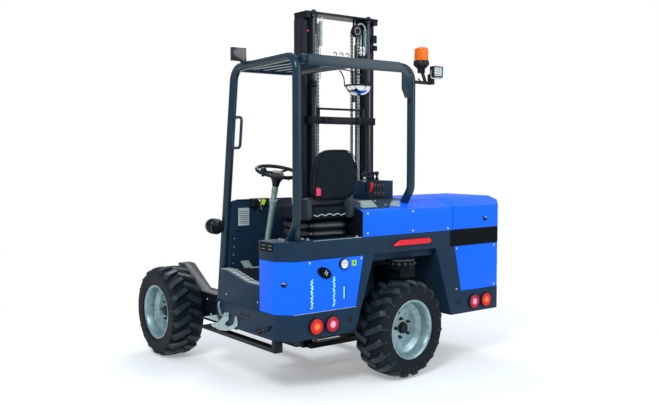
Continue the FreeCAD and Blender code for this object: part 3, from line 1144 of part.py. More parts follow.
def build_beacon():
    """The amber beacon, and its foot on an arm from the guard's right post."""
    foot_top = "beacon_z + beacon_waist + beacon_foot"
    dome = lathe("beacon_dome", [
        ("0", foot_top), ("beacon_dia / 2", foot_top),
        ("beacon_dia / 2", f"{foot_top} + beacon_high - beacon_round"),
        ("beacon_dia / 2 - beacon_round", f"{foot_top} + beacon_high"), ("0", f"{foot_top} + beacon_high"),
    ], "Z")
    node("beacon", moved(dome, x="beacon_x", y="beacon_y"))
    foot = lathe("beacon_foot_turned", [
        ("0", "beacon_z"), ("beacon_waist_dia / 2", "beacon_z"),
        ("beacon_waist_dia / 2", "beacon_z + beacon_waist / 2"),
        ("beacon_foot_dia / 2", "beacon_z + beacon_waist"), ("beacon_foot_dia / 2", foot_top),
        ("0", foot_top),
    ], "Z")
    post_face = "right_post_y - post_dia / 2 - run_gap"
    arm_z, across_y = size("beacon_z") - size("beacon_arm_drop"), size("beacon_y")
    arm = tube("beacon_arm", [
        Vector(0, size("right_post_y") - size("post_dia") / 2 - size("run_gap"), arm_z),
        Vector(0, across_y, arm_z), Vector(size("beacon_x"), across_y,
                                           size("beacon_z") + size("beacon_waist") / 2),
    ], size("beacon_arm_bend"), size("beacon_arm_dia"))
    stay = block("lamp_stay", ("rear_lamp_x + work_lamp_wall + run_gap", "beacon_arm_dia / 2"),
                 ("rear_lamp_y", "rear_lamp_y + beacon_arm_dia"),
                 ("beacon_z - beacon_arm_drop - beacon_arm_dia / 2", "rear_lamp_z + beacon_arm_dia"))
    reach = rod("lamp_reach", "Y", ("0", "rear_lamp_y", "beacon_z - beacon_arm_drop"),
                f"{post_face} - rear_lamp_y", "beacon_arm_dia")
    node("beacon_base", fuse("beacon_base_fuse", moved(foot, x="beacon_x", y="beacon_y"), arm, stay, reach))


def work_lamp(name, x, y, z, wide, high):
    """A flat square lamp that looks along X, from its face's corner nearest the floor."""
    return block(name, (x, f"{x} + work_lamp_wall"), (y, f"{y} + {wide}"), (z, f"{z} + {high}"))


def build_work_lamps():
    """The lamp beside the beacon, the one on the roof's front corner, and the side lamp on the front post."""
    rear = work_lamp("work_lamp_rear", "rear_lamp_x", "rear_lamp_y - work_lamp_wide / 2", "rear_lamp_z",
                     "work_lamp_wide", "work_lamp_high")
    seat = "guard_top - guard_drop * front_lamp_x / guard_front_x"
    roof = work_lamp("work_lamp_roof", "front_lamp_x", "post_y - front_lamp_wide / 4",
                     f"{seat} + front_lamp_lift",
                     "front_lamp_wide", "front_lamp_high")
    foot = block("work_lamp_foot", ("front_lamp_x", "front_lamp_x + work_lamp_wall"),
                 ("post_y - mirror_arm_dia / 2", "post_y + mirror_arm_dia / 2"),
                 (f"{seat} + run_gap", f"{seat} + front_lamp_lift"))
    lean = "(post_foot_y - post_y) / (guard_front_line - sill_high)"
    beside = f"(post_dia / 2 + side_lamp_dia / 2 + run_gap) / cos(atan({lean}))"
    side_y = f"post_y + (guard_front_line - side_lamp_z) * {lean} + {beside}"
    side = rod("side_lamp", "X", ("side_lamp_x - side_lamp_wall", side_y, "side_lamp_z"),
               "side_lamp_wall", "side_lamp_dia")
    node("work_lamps", group("work_lamp_set", rear, fuse("roof_lamp_fuse", roof, foot), side))


def build_mirror():
    """The round dome mirror under the roof's right rail."""
    radius, deep = size("mirror_dia") / 2, size("mirror_deep")
    ball = (radius ** 2 + deep ** 2) / (2 * deep)
    rim = point("mirror_x", "mirror_y", "mirror_z")
    centre = rim + Vector(0, 0, ball - deep)
    outer = Part.makeSphere(ball, centre)
    inner = Part.makeSphere(ball - size("mirror_wall"), centre)
    below = Part.makeBox(4 * ball, 4 * ball, 2 * ball, rim - Vector(2 * ball, 2 * ball, 2 * ball))
    bowl = outer.cut(inner).common(below)
    arm_dia = size("mirror_arm_dia")
    rail_y = size("roof_right_y") - size("post_dia") / 2 - size("run_gap")
    rail_z = size("guard_front_line")
    corner = Vector(rim.x, rim.y + radius - size("mirror_wall"), rail_z)
    drop = Part.makeCylinder(arm_dia / 2, rail_z - rim.z + arm_dia,
                             Vector(corner.x, corner.y, rim.z - arm_dia))
    bar = Part.makeCylinder(arm_dia / 2, rail_y - corner.y, corner, Vector(0, 1, 0))
    node("mirror", shape("mirror_dome", bowl.fuse([drop, bar]).removeSplitter()))


def build_all():
    """Every sub-part, from the frame outwards."""
    build_rear_frame()
    build_belt()
    build_lower_panels()
    build_hood()
    build_power_unit()
    build_footwell()
    build_bulkhead()
    build_pedals()
    build_guard()
    build_seat()
    build_steering()
    build_console()
    build_legs()
    build_wheels()
    build_steer_yoke()
    build_reach_carriage()
    build_mast()
    build_lift()
    build_tilt_cylinders()
    build_forks()
    build_step()
    build_sill_fittings()
    build_tail_lamps()
    build_beacon()
    build_work_lamps()
    build_mirror()


def centre_on_footprint():
    """Sets the origin under the middle of the machine, from the sub-parts' own extents."""
    doc.recompute()
    low = min(part.Shape.BoundBox.XMin for part in NODES)
    high = max(part.Shape.BoundBox.XMax for part in NODES)
    sheet.set(sheet.getCellFromAlias("origin_x"), f"{-(low + high) / 2:.6f}")
    doc.recompute()


def write_parts():
    """Checks every object and writes each sub-part to its own file."""
    failed = [f"{thing.Name} is {thing.State}" for thing in doc.Objects if {"Invalid",
                                                                            "Error"} & set(thing.State)]
    if failed:
        raise RuntimeError("; ".join(failed))
    for part in NODES:
        if part.Shape.isNull() or not part.Shape.isValid():
            raise RuntimeError(f"{part.Label} has no valid shape")
    os.makedirs("parts", exist_ok=True)
    for part in NODES:
        part.Shape.exportStep(os.path.join("parts", part.Label + ".step"))


build_all()
centre_on_footprint()
write_parts()
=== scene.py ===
"""Looks of a three-wheel truck-mounted forklift, laid over its construction model.

Every length is in metres, in the row frame: X forward, Y to the driver's left and Z up, with the
origin on the ground under the middle of the machine.
"""

import logging
import math
from collections.abc import Iterable, Sequence
from dataclasses import dataclass, field
from enum import Enum
from typing import Any, ClassVar

import bpy
import numpy as np
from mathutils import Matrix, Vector


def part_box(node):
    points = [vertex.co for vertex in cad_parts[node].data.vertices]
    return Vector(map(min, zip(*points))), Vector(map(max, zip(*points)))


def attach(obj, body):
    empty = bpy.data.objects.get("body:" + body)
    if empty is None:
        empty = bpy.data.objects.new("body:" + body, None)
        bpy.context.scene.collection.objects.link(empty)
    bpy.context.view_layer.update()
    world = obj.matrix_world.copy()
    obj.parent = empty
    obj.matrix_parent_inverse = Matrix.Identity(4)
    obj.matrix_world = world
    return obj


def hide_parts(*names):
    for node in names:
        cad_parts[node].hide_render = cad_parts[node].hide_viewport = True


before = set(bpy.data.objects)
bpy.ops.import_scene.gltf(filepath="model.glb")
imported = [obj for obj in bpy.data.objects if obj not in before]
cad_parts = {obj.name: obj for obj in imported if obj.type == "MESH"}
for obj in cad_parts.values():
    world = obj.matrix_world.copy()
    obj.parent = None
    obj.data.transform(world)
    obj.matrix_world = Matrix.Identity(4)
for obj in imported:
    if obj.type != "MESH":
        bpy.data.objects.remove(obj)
log = logging.getLogger("forklift")

REAR_FACE_TO_AXIS = 0.065
STEER_AXIS_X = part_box("rear_frame")[0][0] + REAR_FACE_TO_AXIS
ORIGIN = (0.0, 0.0, 0.0)
UP, REARWARD = (0.0, 0.0, 1.0), (-1.0, 0.0, 0.0)
SIDES = (-1, 1)


class Axis(Enum):
    """A main axis, by its column."""

    X = 0
    Y = 1
    Z = 2

    def others(self) -> tuple[int, int]:
        """The two columns that follow it, so that the three are right-handed."""
        return (self.value + 1) % 3, (self.value + 2) % 3


class Plane(Enum):
    """A main plane, by its two columns."""

    XY = (0, 1)
    XZ = (0, 2)
    YZ = (1, 2)


class Body(Enum):
    """A moving body that carries pieces."""

    CHASSIS = "chassis"
    COVER = "engine_cover"
    MAST = "mast"
    MAST_UPPER = "mast_upper"
    REAR_STEER = "rear_steer"
    FRONT_LEFT = "wheel_front_left"
    FRONT_RIGHT = "wheel_front_right"
    REAR = "wheel_rear"


def at(x: float, y: float, z: float) -> np.ndarray:
    """A point whose x counts from the rear wheel's steering axis."""
    return np.array([x + STEER_AXIS_X, y, z])


# ---------------------------------------------------------------- surfaces
@dataclass
class Form:
    """A surface as corner positions and faces.

    Attributes:
        points: one row for each corner.
        faces: corner numbers of each face, counter-clockwise seen from outside.
    """

    points: np.ndarray
    faces: list[list[int]]

    def __add__(self, other: "Form") -> "Form":
        """Both surfaces as one."""
        count = len(self.points)
        shifted = [[corner + count for corner in face] for face in other.faces]
        return Form(np.vstack([self.points, other.points]), self.faces + shifted)

    def moved(self, offset: Sequence[float]) -> "Form":
        """The surface shifted by an offset."""
        return Form(self.points + np.asarray(offset, float), self.faces)

    def turned(self, axis: Axis, degrees: float, about: Sequence[float] = ORIGIN) -> "Form":
        """The surface turned about a line parallel to a main axis.

        Args:
            axis: the line's direction.
            degrees: the turn, right-handed.
            about: a point on the line.

        Returns:
            The turned surface.
        """
        return Form((self.points - about) @ rotation(axis, degrees).T + about, self.faces)

    def mirrored(self) -> "Form":
        """The surface mirrored from left to right, with its faces turned round to match."""
        return Form(self.points * (1, -1, 1), [face[::-1] for face in self.faces])

    def repeated(self, turns: Iterable[np.ndarray], offsets: Iterable[Sequence[float]] | None = None) -> "Form":
        """Copies of the surface, each turned by a matrix and then shifted.

        Args:
            turns: one rotation matrix for each copy.
            offsets: one shift for each copy, or none.

        Returns:
            All the copies as one surface.
        """
        turns = np.array(list(turns))
        shifts = np.zeros((len(turns), 3)) if offsets is None else np.array(list(offsets), float)
        points = np.einsum("kij,nj->kni", turns, self.points) + shifts[:, None, :]
        count = len(self.points)
        faces = [[corner + copy * count for corner in face]
                 for copy in range(len(turns)) for face in self.faces]
        return Form(points.reshape(-1, 3), faces)

    def arrayed(self, offsets: Iterable[Sequence[float]]) -> "Form":
        """Copies of the surface, each shifted by an offset."""
        offsets = list(offsets)
        return self.repeated([np.eye(3)] * len(offsets), offsets)


def joined(forms: Iterable[Form]) -> Form:
    """Several surfaces as one."""
    forms = list(forms)
    return sum(forms[1:], forms[0])


def circle(count: int) -> np.ndarray:
    """Angles evenly round a full turn, without the last, which is the first again."""
    return np.linspace(0, 2 * math.pi, count, endpoint=False)


def rotation(axis: Axis, degrees: float) -> np.ndarray:
    """Right-handed rotation matrix about a main axis."""
    first, second = axis.others()
    turn = np.eye(3)
    turn[first, first] = turn[second, second] = math.cos(math.radians(degrees))
    turn[second, first] = math.sin(math.radians(degrees))
    turn[first, second] = -turn[second, first]
    return turn


def frame_along(direction: Sequence[float]) -> np.ndarray:
    """Rotation matrix whose third column is the given direction."""
    third = np.asarray(direction, float) / np.linalg.norm(direction)
    helper = np.array([0.0, 1, 0]) if abs(third[1]) < 0.9 else np.array([1.0, 0, 0])
    first = np.cross(helper, third)
    first /= np.linalg.norm(first)
    return np.column_stack([first, np.cross(third, first), third])


def grid(points: np.ndarray, closed_u: bool = False, closed_v: bool = False, caps: bool = False) -> Form:
    """A surface through a grid of points P(u, v), with one four-cornered face for each cell.

    Args:
        points: positions with shape (u count, v count, 3).
        closed_u: whether the last row joins the first.
        closed_v: whether the last column joins the first.
        caps: whether the first and last rows are filled.

    Returns:
        The surface.
    """
    rows, columns = points.shape[:2]
    u = np.arange(rows if closed_u else rows - 1)
    v = np.arange(columns if closed_v else columns - 1)
    uu, vv = np.meshgrid(u, v, indexing="ij")
    near, far = uu * columns, (uu + 1) % rows * columns
    after = (vv + 1) % columns
    faces = np.stack([near + vv, near + after, far + after, far + vv], -1).reshape(-1, 4).tolist()
    if caps:
        ring = np.arange(columns)
        faces += [ring[::-1].tolist(), (ring + (rows - 1) * columns).tolist()]
    return Form(points.reshape(-1, 3).astype(float), faces)


def lathe(profile: Sequence[Sequence[float]], steps: int = 48, axis: Axis = Axis.Z,
          centre: Sequence[float] = ORIGIN, closed: bool = False) -> Form:
    """A turned surface: P(u, v) = centre + along(u) on the axis + radius(u) at angle v round it.

    Args:
        profile: rows of (distance along the axis, radius).
        steps: faces round the turn.
        axis: what it is turned about.
        centre: the point from which distances count.
        closed: whether the profile's end joins its start.

    Returns:
        The surface, outside out for a profile whose distance grows while its radius is the outer one.
    """
    section = np.asarray(profile, float)
    angle = circle(steps)
    first, second = axis.others()
    points = np.zeros((len(section), steps, 3))
    points[..., axis.value] = section[:, :1]
    points[..., first] = section[:, 1:] * np.cos(angle)
    points[..., second] = section[:, 1:] * np.sin(angle)
    return grid(points + np.asarray(centre, float), closed_u=closed, closed_v=True)


def symmetric(rows: Sequence[tuple[float, float]]) -> list[tuple[float, float]]:
    """A turned profile from its first half: the rows, then their mirror image in the opposite order."""
    return [*rows, *((-along, radius) for along, radius in rows[::-1])]


def tube(path: np.ndarray, radius: float | np.ndarray, steps: int = 12, closed: bool = False) -> Form:
    """A round bar: P(u, v) = path(u) + radius(u) (cos v first + sin v second), square to the path.

    Args:
        path: points along the middle.
        radius: one radius, or one for each point.
        steps: faces round the bar.
        closed: whether the path's end joins its start.

    Returns:
        The surface, with filled ends unless closed.
    """
    path = np.asarray(path, float)
    if closed:
        tangent = np.roll(path, -1, 0) - np.roll(path, 1, 0)
    else:
        tangent = np.gradient(path, axis=0)
    tangent /= np.linalg.norm(tangent, axis=1, keepdims=True)
    least = np.linalg.eigh(tangent.T @ tangent)[1][:, 0]
    first = np.cross(tangent, least)
    first /= np.linalg.norm(first, axis=1, keepdims=True)
    second = np.cross(tangent, first)
    angle = circle(steps)
    width = np.broadcast_to(np.asarray(radius, float), (len(path),))[:, None, None]
    ring = np.cos(angle)[None, :, None] * first[:, None, :] + np.sin(angle)[None, :, None] * second[:, None, :]
    return grid(path[:, None, :] + width * ring, closed_u=closed, closed_v=True, caps=not closed)


def curve(knots: Sequence[Sequence[float]], count: int = 60) -> np.ndarray:
    """Points on a smooth line through the knots: between two knots, the cubic set by their neighbours.

    Args:
        knots: positions that the line passes through.
        count: how many points to give.

    Returns:
        The points along the line.
    """
    knots = np.asarray(knots, float)
    padded = np.vstack([2 * knots[0] - knots[1], knots, 2 * knots[-1] - knots[-2]])
    place = np.linspace(0, len(knots) - 1, count)
    cell = np.minimum(place.astype(int), len(knots) - 2)
    t = (place - cell)[:, None]
    a, b, c, d = (padded[cell + shift] for shift in range(4))
    return 0.5 * (2 * b + (c - a) * t + (2 * a - 5 * b + 4 * c - d) * t**2 + (3 * b - a - 3 * c + d) * t**3)


def wire(knots: Sequence[Sequence[float]], radius: float | np.ndarray, count: int, steps: int) -> Form:
    """A round wire or hose on a smooth line.

    Args:
        knots: positions that it passes through, x from the steering axis.
        radius: one radius, or one for each point.
        count: points along it.
        steps: faces round it.

    Returns:
        The closed surface.
    """
    return tube(curve([at(*knot) for knot in knots], count), radius, steps)


def rounded(corners: Sequence[Sequence[float]], radius: float, steps: int = 8) -> np.ndarray:
    """A path of straight runs whose corners are rounded by parabolas that start a radius before each.

    Args:
        corners: the path's corners, with its two ends.
        radius: how far from a corner its rounding starts.
        steps: points on each rounding.

    Returns:
        The points along the path.
    """
    corners = np.asarray(corners, float)
    before, middle, after = corners[:-2], corners[1:-1], corners[2:]
    start = middle + radius * (before - middle) / np.linalg.norm(before - middle, axis=1, keepdims=True)
    end = middle + radius * (after - middle) / np.linalg.norm(after - middle, axis=1, keepdims=True)
    t = np.linspace(0, 1, steps)[None, :, None]
    bends = (1 - t) ** 2 * start[:, None] + 2 * t * (1 - t) * middle[:, None] + t**2 * end[:, None]
    return np.vstack([corners[:1], bends.reshape(-1, 3), corners[-1:]])


def slab(outline: Sequence[Sequence[float]], plane: Plane, low: float, high: float) -> Form:
    """A flat plate: the outline carried straight from one distance to another.

    Args:
        outline: corners in the plane, in either direction.
        plane: the main plane that the corners lie in.
        low: where the plate starts along the plane's normal.
        high: where it ends.

    Returns:
        The closed surface.
    """
    corners = np.asarray(outline, float)
    across, up = plane.value
    normal = 3 - across - up
    points = np.zeros((2, len(corners), 3))
    points[..., across], points[..., up] = corners[:, 0], corners[:, 1]
    points[0, :, normal], points[1, :, normal] = low, high
    area = np.sum(corners[:, 0] * np.roll(corners[:, 1], -1) - np.roll(corners[:, 0], -1) * corners[:, 1])
    form = grid(points, closed_v=True, caps=True)
    handed = 1 if (across, up) in ((0, 1), (1, 2)) else -1
    if area * handed * (high - low) < 0:
        form.faces = [face[::-1] for face in form.faces]
    return form


def side_plate(outline: Sequence[Sequence[float]], low: float, high: float) -> Form:
    """A plate seen from the side: corners as (x, z), x from the steering axis, between two y."""
    return slab([(x + STEER_AXIS_X, z) for x, z in outline], Plane.XZ, low, high)


def rear_plate(outline: Sequence[Sequence[float]], low: float, high: float) -> Form:
    """A plate seen from behind: corners as (y, z), between two x from the steering axis."""
    return slab(outline, Plane.YZ, STEER_AXIS_X + low, STEER_AXIS_X + high)


def brick(low: Sequence[float], high: Sequence[float]) -> Form:
    """A six-sided plate or bar between two corners, for a bevel to finish."""
    (xa, ya, za), (xb, yb, zb) = low, high
    return slab([(xa, ya), (xb, ya), (xb, yb), (xa, yb)], Plane.XY, za, zb)


def block(low: Sequence[float], high: Sequence[float]) -> Form:
    """A six-sided plate or bar between two corners whose x count from the steering axis."""
    return brick(at(*low), at(*high))


def around(centre: Sequence[float], sizes: Sequence[float]) -> Form:
    """A six-sided plate or bar by its middle and its three sizes."""
    middle, half = np.asarray(centre, float), np.asarray(sizes, float) / 2
    return brick(middle - half, middle + half)


def pin(start: Sequence[float], end: Sequence[float], radius: float, steps: int = 20,
        dome: float = 0.0) -> Form:
    """A round bar between two points, its ends flat or slightly domed.

    Args:
        start: the middle of the first end.
        end: the middle of the second end.
        radius: the bar's radius.
        steps: faces round the bar.
        dome: how far the second end swells out, as a share of the radius.

    Returns:
        The closed surface.
    """
    start, end = np.asarray(start, float), np.asarray(end, float)
    length = np.linalg.norm(end - start)
    edge = min(0.12 * radius, 0.3 * length)
    profile = [(0, 0), (0, radius - edge), (edge, radius), (length - edge, radius), (length, radius - edge)]
    if dome:
        swell = np.linspace(0.2, 1, 5)
        profile += [(length + dome * radius * math.sin(s * math.pi / 2),
                     (radius - edge) * math.cos(s * math.pi / 2))
                    for s in swell]
    else:
        profile.append((length, 0))
    form = lathe(profile, steps)
    return form.repeated([frame_along(end - start)], [start])


def ring_of(form: Form, count: int, axis: Axis, start: float = 0.0) -> Form:
    """Copies of a surface spaced evenly round a main axis."""
    return form.repeated(rotation(axis, start + 360 * step / count) for step in range(count))


def hexagon_head(centre: Sequence[float], direction: Sequence[float], width: float, high: float) -> Form:
    """A six-sided bolt head with a chamfered top, on its washer.

    Args:
        centre: where the washer sits on the surface.
        direction: away from the surface.
        width: across the flats.
        high: the head's height.

    Returns:
        The closed surface.
    """
    reach = width / math.sqrt(3)
    head = lathe([(high * 0.15, 0), (high * 0.15, reach), (high * 0.85, reach), (high, reach * 0.84),
                  (high, 0)], 6)
    washer = lathe([(0, 0), (0, reach * 1.25), (high * 0.2, reach * 1.2), (high * 0.2, 0)], 16)
    return (head + washer).repeated([frame_along(direction)], [centre])


def screw_head(centre: Sequence[float], direction: Sequence[float], radius: float) -> Form:
    """A low round screw head with a sunk middle: a turned surface whose height falls to the edge."""
    profile = [(0, radius), (radius * 0.22, radius * 0.95), (radius * 0.42, radius * 0.7),
               (radius * 0.46, radius * 0.42),
               (radius * 0.2, radius * 0.38), (radius * 0.2, 0)]
    return lathe([(0, 0), *profile], 16).repeated([frame_along(direction)], [centre])


# ---------------------------------------------------------------- making objects
SHARP = math.radians(34)


@dataclass
class Bench:
    """Turns surfaces into objects that ride on the machine's bodies."""

    made: int = 0

    def piece(self, name: str, form: Form, finish: "Finish", body: Body = Body.CHASSIS, *,
              replaces: Sequence[str] = (), bevel: float = 0.0, segments: int = 2,
              subdivide: int = 0) -> bpy.types.Object:
        """Makes one object from a surface, finished and riding on its body.

        Args:
            name: the object's name.
            form: its surface, in the row frame.
            finish: what it is made of.
            body: the moving body that carries it.
            replaces: construction nodes that it stands for.
            bevel: width of its rounded edges, or 0.
            segments: faces across each rounded edge.
            subdivide: levels of subdivision, or 0.

        Returns:
            The object.
        """
        mesh = bpy.data.meshes.new(name)
        mesh.from_pydata(form.points.tolist(), [], form.faces)
        mesh.validate()
        mesh.polygons.foreach_set("use_smooth", np.ones(len(mesh.polygons), bool))
        if not subdivide and not bevel:
            mesh.set_sharp_from_angle(angle=SHARP)
        mesh.materials.append(finish.material())
        piece = bpy.data.objects.new(name, mesh)
        bpy.context.scene.collection.objects.link(piece)
        if bevel:
            self.soften(piece, bevel, segments)
        if subdivide:
            layer = piece.modifiers.new("Subdivide", "SUBSURF")
            layer.levels = layer.render_levels = subdivide
        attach(piece, body.value)
        if replaces:
            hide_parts(*replaces)
        self.made += 1
        log.info("%s: %d faces in %s on %s", name, len(form.faces), type(finish).__name__, body.value)
        return piece

    @staticmethod
    def soften(thing: bpy.types.Object, width: float, segments: int = 2) -> None:
        """Rounds an object's sharp edges and shades its flat faces flat.

        Args:
            thing: the object.
            width: how far each edge is drawn back.
            segments: faces across each rounded edge.
        """
        layer = thing.modifiers.new("Edges", "BEVEL")
        layer.width = width
        layer.segments = segments
        layer.limit_method = "ANGLE"
        layer.angle_limit = SHARP
        layer.harden_normals = True
        layer.use_clamp_overlap = True

    def dress(self, node: str, finish: "Finish", bevel: float = 0.0, segments: int = 2) -> None:
        """Finishes a construction node where it stands, with rounded edges if asked.

        Args:
            node: the node's name.
            finish: what it is made of.
            bevel: width of its rounded edges, or 0.
            segments: faces across each rounded edge.
        """
        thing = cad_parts[node]
        thing.data.materials.clear()
        thing.data.materials.append(finish.material())
        if bevel:
            thing.data.polygons.foreach_set("use_smooth", np.ones(len(thing.data.polygons), bool))
            weld = thing.modifiers.new("Weld", "WELD")
            weld.merge_threshold = 1e-5
            flat = thing.modifiers.new("Flats", "DECIMATE")
            flat.decimate_type = "DISSOLVE"
            flat.angle_limit = math.radians(0.6)
            self.soften(thing, bevel, segments)
        log.info("%s: construction node in %s", node, type(finish).__name__)


# ---------------------------------------------------------------- shader maths
class Signal:
    """A socket of a node tree, so that shader maths is written as an expression."""

    def __init__(self, tree: bpy.types.NodeTree, socket: bpy.types.NodeSocket) -> None:
        """Wraps a socket of a tree."""
        self.tree = tree
        self.socket = socket

    def maths(self, operation: str, *values: "Signal | float") -> "Signal":
        """Adds a Math node.

        Args:
            operation: the node's operation.
            values: its inputs, in order.

        Returns:
            The node's result.
        """
        node = self.tree.nodes.new("ShaderNodeMath")
        node.operation = operation
        for socket, value in zip(node.inputs, values):
            if isinstance(value, Signal):
                self.tree.links.new(value.socket, socket)
            else:
                socket.default_value = value
        return Signal(self.tree, node.outputs[0])

    def __add__(self, other: "Signal | float") -> "Signal":
        """The sum."""
        return self.maths("ADD", self, other)

    def __sub__(self, other: "Signal | float") -> "Signal":
        """The difference."""
        return self.maths("SUBTRACT", self, other)

    def __rsub__(self, other: float) -> "Signal":
        """A number less this."""
        return self.maths("SUBTRACT", other, self)

    def __mul__(self, other: "Signal | float") -> "Signal":
        """The product."""
        return self.maths("MULTIPLY", self, other)

    def __truediv__(self, other: "Signal | float") -> "Signal":
        """The quotient."""
        return self.maths("DIVIDE", self, other)

    def __rtruediv__(self, other: float) -> "Signal":
        """A number divided by this."""
        return self.maths("DIVIDE", other, self)

    __radd__ = __add__
    __rmul__ = __mul__

    def root(self) -> "Signal":
        """The square root."""
        return self.maths("SQRT", self)

    def largest(self, other: "Signal | float") -> "Signal":
        """The larger of two."""
        return self.maths("MAXIMUM", self, other)

    def least(self, other: "Signal | float") -> "Signal":
        """The smaller of two."""
        return self.maths("MINIMUM", self, other)

    def between(self, low: float, high: float) -> "Signal":
        """0 below low, 1 above high, and a straight rise between them."""
        node = self.tree.nodes.new("ShaderNodeMapRange")
        node.clamp = True
        self.tree.links.new(self.socket, node.inputs[0])
        node.inputs[1].default_value, node.inputs[2].default_value = low, high
        return Signal(self.tree, node.outputs[0])

    def wave(self, pitch: float) -> "Signal":
        """Distance to the nearest multiple of a pitch, as 0 on it and 1 halfway between two."""
        return self.maths("PINGPONG", self, pitch / 2) / (pitch / 2)


class Recipe:
    """A material's node tree while it is being written."""

    def __init__(self, owner: bpy.types.Material | bpy.types.World) -> None:
        """Takes the tree of a new material or world."""
        owner.use_nodes = True
        self.tree = owner.node_tree
        self.shader = self.tree.nodes.get("Principled BSDF")

    def node(self, kind: str, settings: dict[str, Any] | None = None, sockets: dict[Any, Any] | None = None,
             out: int | str = 0) -> Signal:
        """Adds a node: its settings first, then the values or links of its sockets.

        Args:
            kind: the node's type, without ShaderNode.
            settings: the node's own properties.
            sockets: values or signals by socket name or number.
            out: which output to give back.

        Returns:
            The chosen output.
        """
        node = self.tree.nodes.new("ShaderNode" + kind)
        for key, value in (settings or {}).items():
            setattr(node, key, value)
        for key, value in (sockets or {}).items():
            if isinstance(value, Signal):
                self.tree.links.new(value.socket, node.inputs[key])
            else:
                node.inputs[key].default_value = value
        return Signal(self.tree, node.outputs[out])

    def place(self) -> Signal:
        """The piece's own coordinates, in metres."""
        return self.node("TexCoord", out="Object")

    def axes(self) -> tuple[Signal, Signal, Signal]:
        """The three coordinates one by one."""
        first = self.node("SeparateXYZ", sockets={0: self.place()})
        outputs = first.socket.node.outputs
        return first, Signal(self.tree, outputs[1]), Signal(self.tree, outputs[2])

    def noise(self, scale: float, detail: float = 3.0, roughness: float = 0.55,
              stretch: tuple[float, float, float] = (1, 1, 1)) -> Signal:
        """Cloudy noise from 0 to 1, with so many clouds a metre, stretched along an axis if asked."""
        where = self.place()
        if stretch != (1, 1, 1):
            where = self.node("Mapping", sockets={"Vector": where, "Scale": stretch})
        return self.node("TexNoise", sockets={"Vector": where, "Scale": scale, "Detail": detail,
                                              "Roughness": roughness})

    def cells(self, scale: float, feature: str = "F1", out: str = "Distance") -> Signal:
        """Cell pattern with so many cells a metre."""
        return self.node("TexVoronoi", {"feature": feature}, {"Vector": self.place(), "Scale": scale}, out)

    def mixed(self, factor: Signal | float, first: Any, second: Any) -> Signal:
        """A colour between two."""
        sides = {6: first if isinstance(first, Signal) else (*first, 1.0),
                 7: second if isinstance(second, Signal) else (*second, 1.0)}
        return self.node("Mix", {"data_type": "RGBA"}, {0: factor, **sides}, 2)

    def link(self, name: str, value: Signal) -> None:
        """Feeds one of the shader's sockets."""
        self.tree.links.new(value.socket, self.shader.inputs[name])

    def fix(self, **values: Any) -> None:
        """Sets shader sockets to plain values; an underscore stands for a space."""
        for name, value in values.items():
            self.shader.inputs[name.replace("_", " ")].default_value = value

    def bump(self, height: Signal, strength: float, distance: float) -> None:
        """Feeds the shader's normal from a height."""
        self.link("Normal", self.node("Bump", sockets={"Height": height, "Strength": strength,
                                                       "Distance": distance}))


# ---------------------------------------------------------------- finishes
@dataclass(frozen=True)
class Finish:
    """What a piece is made of.

    Attributes:
        name: the material's name.
        slot: the record's material slot that it stands for; not used.
    """

    name: str
    slot: str
    known: ClassVar[dict[str, bpy.types.Material]] = {}

    def material(self) -> bpy.types.Material:
        """The material, written once and shared."""
        if self.name not in self.known:
            self.known[self.name] = bpy.data.materials.new(self.name)
            self.write(Recipe(self.known[self.name]))
        return self.known[self.name]

    def write(self, recipe: Recipe) -> None:
        """Writes the nodes."""
        raise NotImplementedError


def shade(colour: Sequence[float], factor: float, lift: float = 0.0) -> tuple[float, ...]:
    """A colour made darker or lighter by a factor, then lifted, and no brighter than 1."""
    return tuple(min(1.0, part * factor + lift) for part in colour)


@dataclass(frozen=True)
class Paint(Finish):
    """Sprayed and baked paint with a fine orange-peel skin, cloudy tone and dust near the ground."""

    colour: tuple[float, float, float]
    roughness: float = 0.34
    sheen: float = 0.0
    tone: float = 0.10
    dust: float = 0.0
    peel: float = 0.05
    metal: float = 0.0
    shine: float = 0.5

    def write(self, recipe: Recipe) -> None:
        """Colour varies with large clouds and fine specks; dust settles low; roughness follows both."""
        clouds, specks = recipe.noise(3.2, 4), recipe.noise(160, 2)
        height = recipe.axes()[2]
        low = (1 - height.between(0.15, 0.95)) * recipe.noise(9, 6, 0.7).between(0.38, 0.75) * self.dust
        dark = shade(self.colour, 1 - self.tone)
        light = shade(self.colour, 1 + self.tone, 0.001)
        base = recipe.mixed((clouds * 0.8 + specks * 0.2).between(0.3, 0.7), dark, light)
        recipe.link("Base Color", recipe.mixed(low, base, (0.11, 0.115, 0.12)))
        recipe.link("Roughness", clouds * 0.10 + low * 0.5 + (self.roughness - 0.05))
        recipe.fix(Metallic=self.metal, Coat_Weight=self.sheen, Coat_Roughness=0.12,
                   Specular_IOR_Level=self.shine)
        recipe.bump(recipe.noise(420, 2) * 0.6 + recipe.noise(14, 2) * 0.4, self.peel, 0.002)


@dataclass(frozen=True)
class Zinc(Finish):
    """Hot-dipped zinc or silver paint on steel, with a soft spangle and a dull bloom."""

    colour: tuple[float, float, float] = (0.50, 0.55, 0.55)
    roughness: float = 0.42
    metal: float = 0.65
    spangle: float = 34.0

    def write(self, recipe: Recipe) -> None:
        """Each spangle cell has its own tone; roughness follows the bloom."""
        cell = recipe.cells(self.spangle, out="Color")
        tone = recipe.node("SeparateColor", sockets={0: cell})
        bloom = recipe.noise(11, 5, 0.65)
        mottle = tone * 0.45 + bloom * 0.55
        dark = shade(self.colour, 0.78)
        light = shade(self.colour, 1.16)
        recipe.link("Base Color", recipe.mixed(mottle.between(0.25, 0.8), dark, light))
        recipe.link("Roughness", bloom * 0.22 + (self.roughness - 0.11))
        recipe.fix(Metallic=self.metal)
        recipe.bump(recipe.noise(190, 3), 0.08, 0.001)


